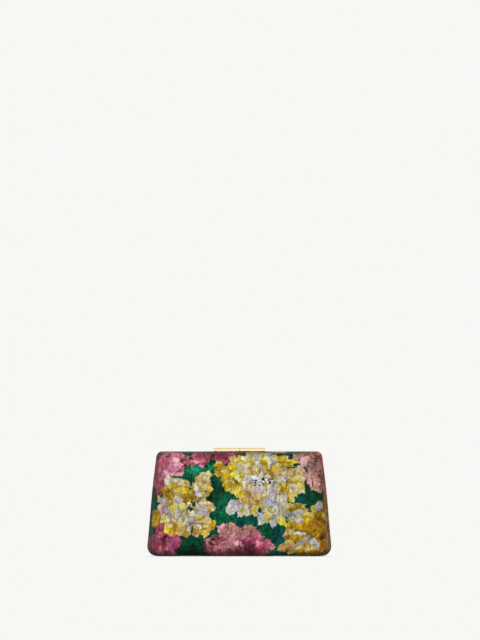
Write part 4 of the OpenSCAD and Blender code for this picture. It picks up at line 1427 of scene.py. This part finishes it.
def satin():
    g = Surface("satin_lining")
    cloth = g.attribute("cloth", "Vector")
    x, z, _ = g.split(cloth)
    floats = g.noise(g.stretched((x, z), (5.0, 0.25)), scale=1.0, detail=3.0, rough=0.6)
    broad = g.noise(cloth, scale=0.05)
    base = g.blend(g.span(g.plus(g.times(floats, 0.5), g.times(broad, 0.5)), (0.35, 0.65), (0.0, 1.0)),
                   display(12, 64, 42), display(30, 98, 67))
    twill = g.math("SINE", g.times(g.plus(x, z), 12.0))
    return g.finish(
        Base_Color=g.blend(g.times(g.attribute("seam"), 0.6), base, display(8, 36, 24)),
        Roughness=g.span(floats, (0.3, 0.7), (0.33, 0.47)),
        Specular_IOR_Level=0.27, Anisotropic=0.5, Sheen_Weight=0.10,
        Normal=g.bump(g.plus(g.times(twill, 0.25), floats), strength=0.35, distance=0.00012))


def metal(name, light, deep, rough):
    """Plate brushed along X, clouded between two colours, with worn places."""
    g = Surface(name)
    coords = g.object_coords()
    lines = g.noise(g.stretched(g.split(coords), (180.0, 5200.0, 5200.0)), scale=1.0, rough=0.6)
    cloudy = g.noise(coords, scale=120.0, detail=3.0, rough=0.6)
    shade_and_wear = g.span(g.noise(coords, scale=700.0, detail=3.0, rough=0.6), (0.55, 0.75), (0.0, 1.0))
    return g.finish(
        Base_Color=g.blend(g.span(cloudy, (0.3, 0.7), (0.0, 1.0)), light, deep), Metallic=1.0,
        Roughness=g.plus(g.span(lines, (0.3, 0.7), (rough * 0.8, rough * 1.25)),
                         g.times(shade_and_wear, 0.05)),
        Normal=g.bump(lines, strength=0.12, distance=0.00005))


def moulded_tray():
    g = Surface("moulded_tray")
    coords = g.object_coords()
    grain = g.noise(coords, scale=2600.0, detail=4.0, rough=0.65)
    fleck = g.noise(coords, scale=300.0, detail=3.0, rough=0.6)
    return g.finish(
        Base_Color=g.blend(g.span(fleck, (0.35, 0.65), (0.0, 1.0)),
                           display(38, 38, 40), display(54, 53, 54)),
        Roughness=g.span(grain, (0.3, 0.7), (0.5, 0.68)),
        Normal=g.bump(grain, strength=0.4, distance=0.0001))


def foam():
    g = Surface("foam_sheet")
    coords = g.object_coords()
    pores = g.add("ShaderNodeTexVoronoi", {"Vector": coords, "Scale": 1500.0}).outputs["Distance"]
    clouds = g.noise(coords, scale=90.0, detail=3.0)
    return g.finish(
        Base_Color=g.blend(g.span(g.plus(g.times(pores, 0.6), g.times(clouds, 0.6)),
                                  (0.3, 0.9), (0.0, 1.0)),
                           display(226, 218, 190), display(244, 240, 222)),
        Roughness=0.92, Subsurface_Weight=0.05,
        Normal=g.bump(pores, strength=0.7, distance=0.0003))


def stitch_thread():
    g = Surface("stitch_thread")
    twist = g.noise(g.object_coords(), scale=4200.0)
    return g.finish(Base_Color=g.blend(twist, display(120, 150, 110), display(170, 186, 140)),
                    Roughness=0.55, Normal=g.bump(twist, strength=0.5, distance=0.00006))


# dark brown felt: painted shade for the gaps of the catch
def felt():
    g = Surface("brown_felt_painted_shade")
    coords = g.object_coords()
    fibre = g.noise(coords, scale=5200.0, detail=4.0, rough=0.7)
    fleck = g.noise(coords, scale=420.0, detail=3.0, rough=0.6)
    return g.finish(
        Base_Color=g.blend(g.span(g.plus(g.times(fibre, 0.5), g.times(fleck, 0.5)),
                                  (0.35, 0.65), (0.0, 1.0)),
                           display(74, 48, 36), display(112, 78, 56)),
        Roughness=0.95, Specular_IOR_Level=0.2, Sheen_Weight=0.15,
        Normal=g.bump(fibre, strength=0.8, distance=0.0001))


# ---- put it together -------------------------------------------------------------------
def set_material(ob, material):
    ob.data.materials.clear()
    ob.data.materials.append(material)


def dress(ob, material, body, slot, *nodes):
    """Gives a piece its material and the body it rides on, and hides the CAD nodes it replaces; slot is
    not used.
    """
    set_material(ob, material)
    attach(ob, body)
    if nodes:
        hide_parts(*nodes)


BROCADE, SATIN, TRAY, FOAM, THREAD = brocade(), satin(), moulded_tray(), foam(), stitch_thread()
GOLD = metal("gold_plate", light=display(250, 227, 180), deep=display(241, 211, 156), rough=0.20)
STEEL = metal("bright_steel", light=display(206, 206, 208), deep=display(176, 177, 180), rough=0.28)

for half, rear in (("front", False), ("rear", True)):
    body = half + "_half"
    dress(build_cover(half + "_brocade_cover", rear), BROCADE, body, "brocade", half + "_cover")
    dress(build_lining(half + "_satin_lining", rear), SATIN, body, "satin", half + "_lining")
    dress(build_foam(half + "_foam_sheet", rear), FOAM, body, "foam", half + "_padding")
pocket, stitch_rows = build_pocket("satin_slip_pocket")
dress(pocket, SATIN, "rear_half", "satin", "slip_pocket")
for stitch_row in stitch_rows:
    dress(stitch_row, THREAD, "rear_half", "satin")
end_pad, felt_strip = build_buffers()
SHADE_FELT = felt()
dress(end_pad, SHADE_FELT, "rear_catch", "tray")
dress(felt_strip, SHADE_FELT, "front_half", "satin")

# the CAD pieces that stay: material by kind, gold where not listed; bevel width in metres, segments
FRAME_MATERIALS = {"shell": TRAY, "catch_spring": STEEL, "spring_rivet": STEEL,
                   "catch_pin": STEEL, "pins": STEEL}
BEVELS = {"clasp_bar": (0.00022, 3), "rim": (0.00012, 2), "hinge_leaves": (0.00012, 2)}

for name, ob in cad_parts.items():
    if ob.hide_render:
        continue
    kind = name.split("_", 1)[1]
    set_material(ob, FRAME_MATERIALS.get(kind, GOLD))
    if kind in BEVELS:
        bevel = ob.modifiers.new("Bevel", "BEVEL")
        bevel.width, bevel.segments = BEVELS[kind]
        bevel.limit_method = "ANGLE"
        bevel.angle_limit = math.radians(35)


# ---- contact shadow, light and camera; all in metres -------------------------------------
def shadow_material():
    """Clear, but darker to the camera where something stands close."""
    material = bpy.data.materials.new("contact_shadow")
    g = Graph(material)
    near, wide = [g.add("ShaderNodeAmbientOcclusion", {"Distance": d}, samples=16).outputs["AO"]
                  for d in (0.010, 0.042)]
    # seen edge on it fades out; seen from above it is at its deepest
    geometry = g.add("ShaderNodeNewGeometry").outputs
    above = g.add("ShaderNodeVectorMath", {0: geometry["Normal"], 1: geometry["Incoming"]},
                  operation="DOT_PRODUCT").outputs["Value"]
    deep = g.span(g.math("ABSOLUTE", above), (0.03, 0.30), (0.0, 1.0))
    near_dark = g.times(g.less(1.0, near), g.span(deep, (0.0, 1.0), (0.28, 0.58)))
    wide_dark = g.times(g.less(1.0, wide), g.span(deep, (0.0, 1.0), (0.0, 0.16)))
    shade = g.times(g.less(1.0, near_dark), g.less(1.0, wide_dark))
    grey = g.add("ShaderNodeCombineColor", {0: shade, 1: shade, 2: shade}).outputs[0]
    shaded = g.add("ShaderNodeBsdfTransparent", {"Color": grey}).outputs[0]
    clear = g.add("ShaderNodeBsdfTransparent").outputs[0]
    seen = g.add("ShaderNodeLightPath").outputs["Is Camera Ray"]
    g.add("ShaderNodeOutputMaterial", {0: g.mix_shader(seen, clear, shaded)})
    return material


def build_shadow_sheet():
    """A sheet just under the purse."""
    half, z = 1.5, -0.0003
    points = np.array([(-half, -half, z), (half, -half, z), (half, half, z), (-half, half, z)])
    ob = make_mesh("contact_shadow", points, [np.array([[0, 1, 2, 3]])])
    ob.data.materials.append(shadow_material())
    ob.visible_diffuse = ob.visible_glossy = ob.visible_transmission = ob.visible_shadow = False


def softbox(name, place, aim, size, power, tint=(1, 1, 1), mirrored=True):
    """A rectangular lamp; the metal mirrors it unless told not to."""
    light = bpy.data.lights.new(name, "AREA")
    light.shape = "RECTANGLE"
    light.size, light.size_y = size
    light.energy = power
    light.color = tint
    ob = bpy.data.objects.new(name, light)
    bpy.context.scene.collection.objects.link(ob)
    ob.location = place
    ob.rotation_euler = (Vector(aim) - Vector(place)).to_track_quat("-Z", "Y").to_euler()
    ob.visible_camera = False
    if not mirrored:
        ob.visible_glossy = False


def build_world():
    """A pale backdrop for the camera, a weak fill, and a room for the metal to mirror."""
    world = bpy.data.worlds.new("studio")
    bpy.context.scene.world = world
    g = Graph(world)
    _, ahead, up = g.split(g.add("ShaderNodeTexCoord").outputs["Generated"])
    path = g.add("ShaderNodeLightPath").outputs
    backdrop = g.add("ShaderNodeBackground", {"Color": display(248, 247, 245)}).outputs[0]
    fill = g.add("ShaderNodeBackground", {
        "Color": (0.97, 0.98, 1.0, 1),
        "Strength": g.span(up, (-0.35, 0.45), (0.015, 0.12))}).outputs[0]
    # pale studio walls at the sides, behind and above, darker towards -Y and below
    strength = g.add("ShaderNodeMath", {0: g.span(up, (-0.30, 0.20), (0.24, 0.75)),
                                        1: g.span(ahead, (-0.90, -0.45), (0.14, 1.0))},
                     operation="MULTIPLY").outputs[0]
    room = g.add("ShaderNodeBackground", {"Color": (1.0, 0.99, 0.97, 1),
                                          "Strength": strength}).outputs[0]
    unseen = g.mix_shader(path["Is Glossy Ray"], fill, room)
    g.add("ShaderNodeOutputWorld", {0: g.mix_shader(path["Is Camera Ray"], unseen, backdrop)})


def build_camera():
    """A long lens level with the floor, looking along +Y."""
    data = bpy.data.cameras.new("camera")
    camera = bpy.data.objects.new("camera", data)
    bpy.context.scene.collection.objects.link(camera)
    data.lens, data.sensor_width = 500.0, 36.0
    data.clip_end = 60
    camera.location = (0.0007, -9.17, 0.2433)
    camera.rotation_euler = (math.radians(90), 0, 0)
    bpy.context.scene.camera = camera


build_shadow_sheet()
softbox("front_wall", place=(0, -4.0, 0.5), aim=(0, 0, 0.1), size=(3.0, 2.4), power=26.0)
softbox("key", place=(-0.65, -2.35, 0.95), aim=(0, 0, 0.06), size=(0.9, 0.7), power=52.0,
        tint=(1.0, 0.99, 0.975), mirrored=False)
softbox("top", place=(0, -0.1, 1.6), aim=(0, 0, 0.05), size=(1.0, 0.8), power=1.5)
softbox("back", place=(0.2, 2.6, 0.32), aim=(0, 0, 0.05), size=(1.3, 0.6), power=34.0,
        mirrored=False)
for name, x in (("side_right", 2.2), ("side_left", -2.2)):
    softbox(name, place=(x, -0.3, 0.5), aim=(0, 0, 0.05), size=(0.8, 0.8), power=2.5)
build_world()
build_camera()
bpy.context.scene.view_settings.view_transform = "Standard"
bpy.context.scene.view_settings.look = "None"
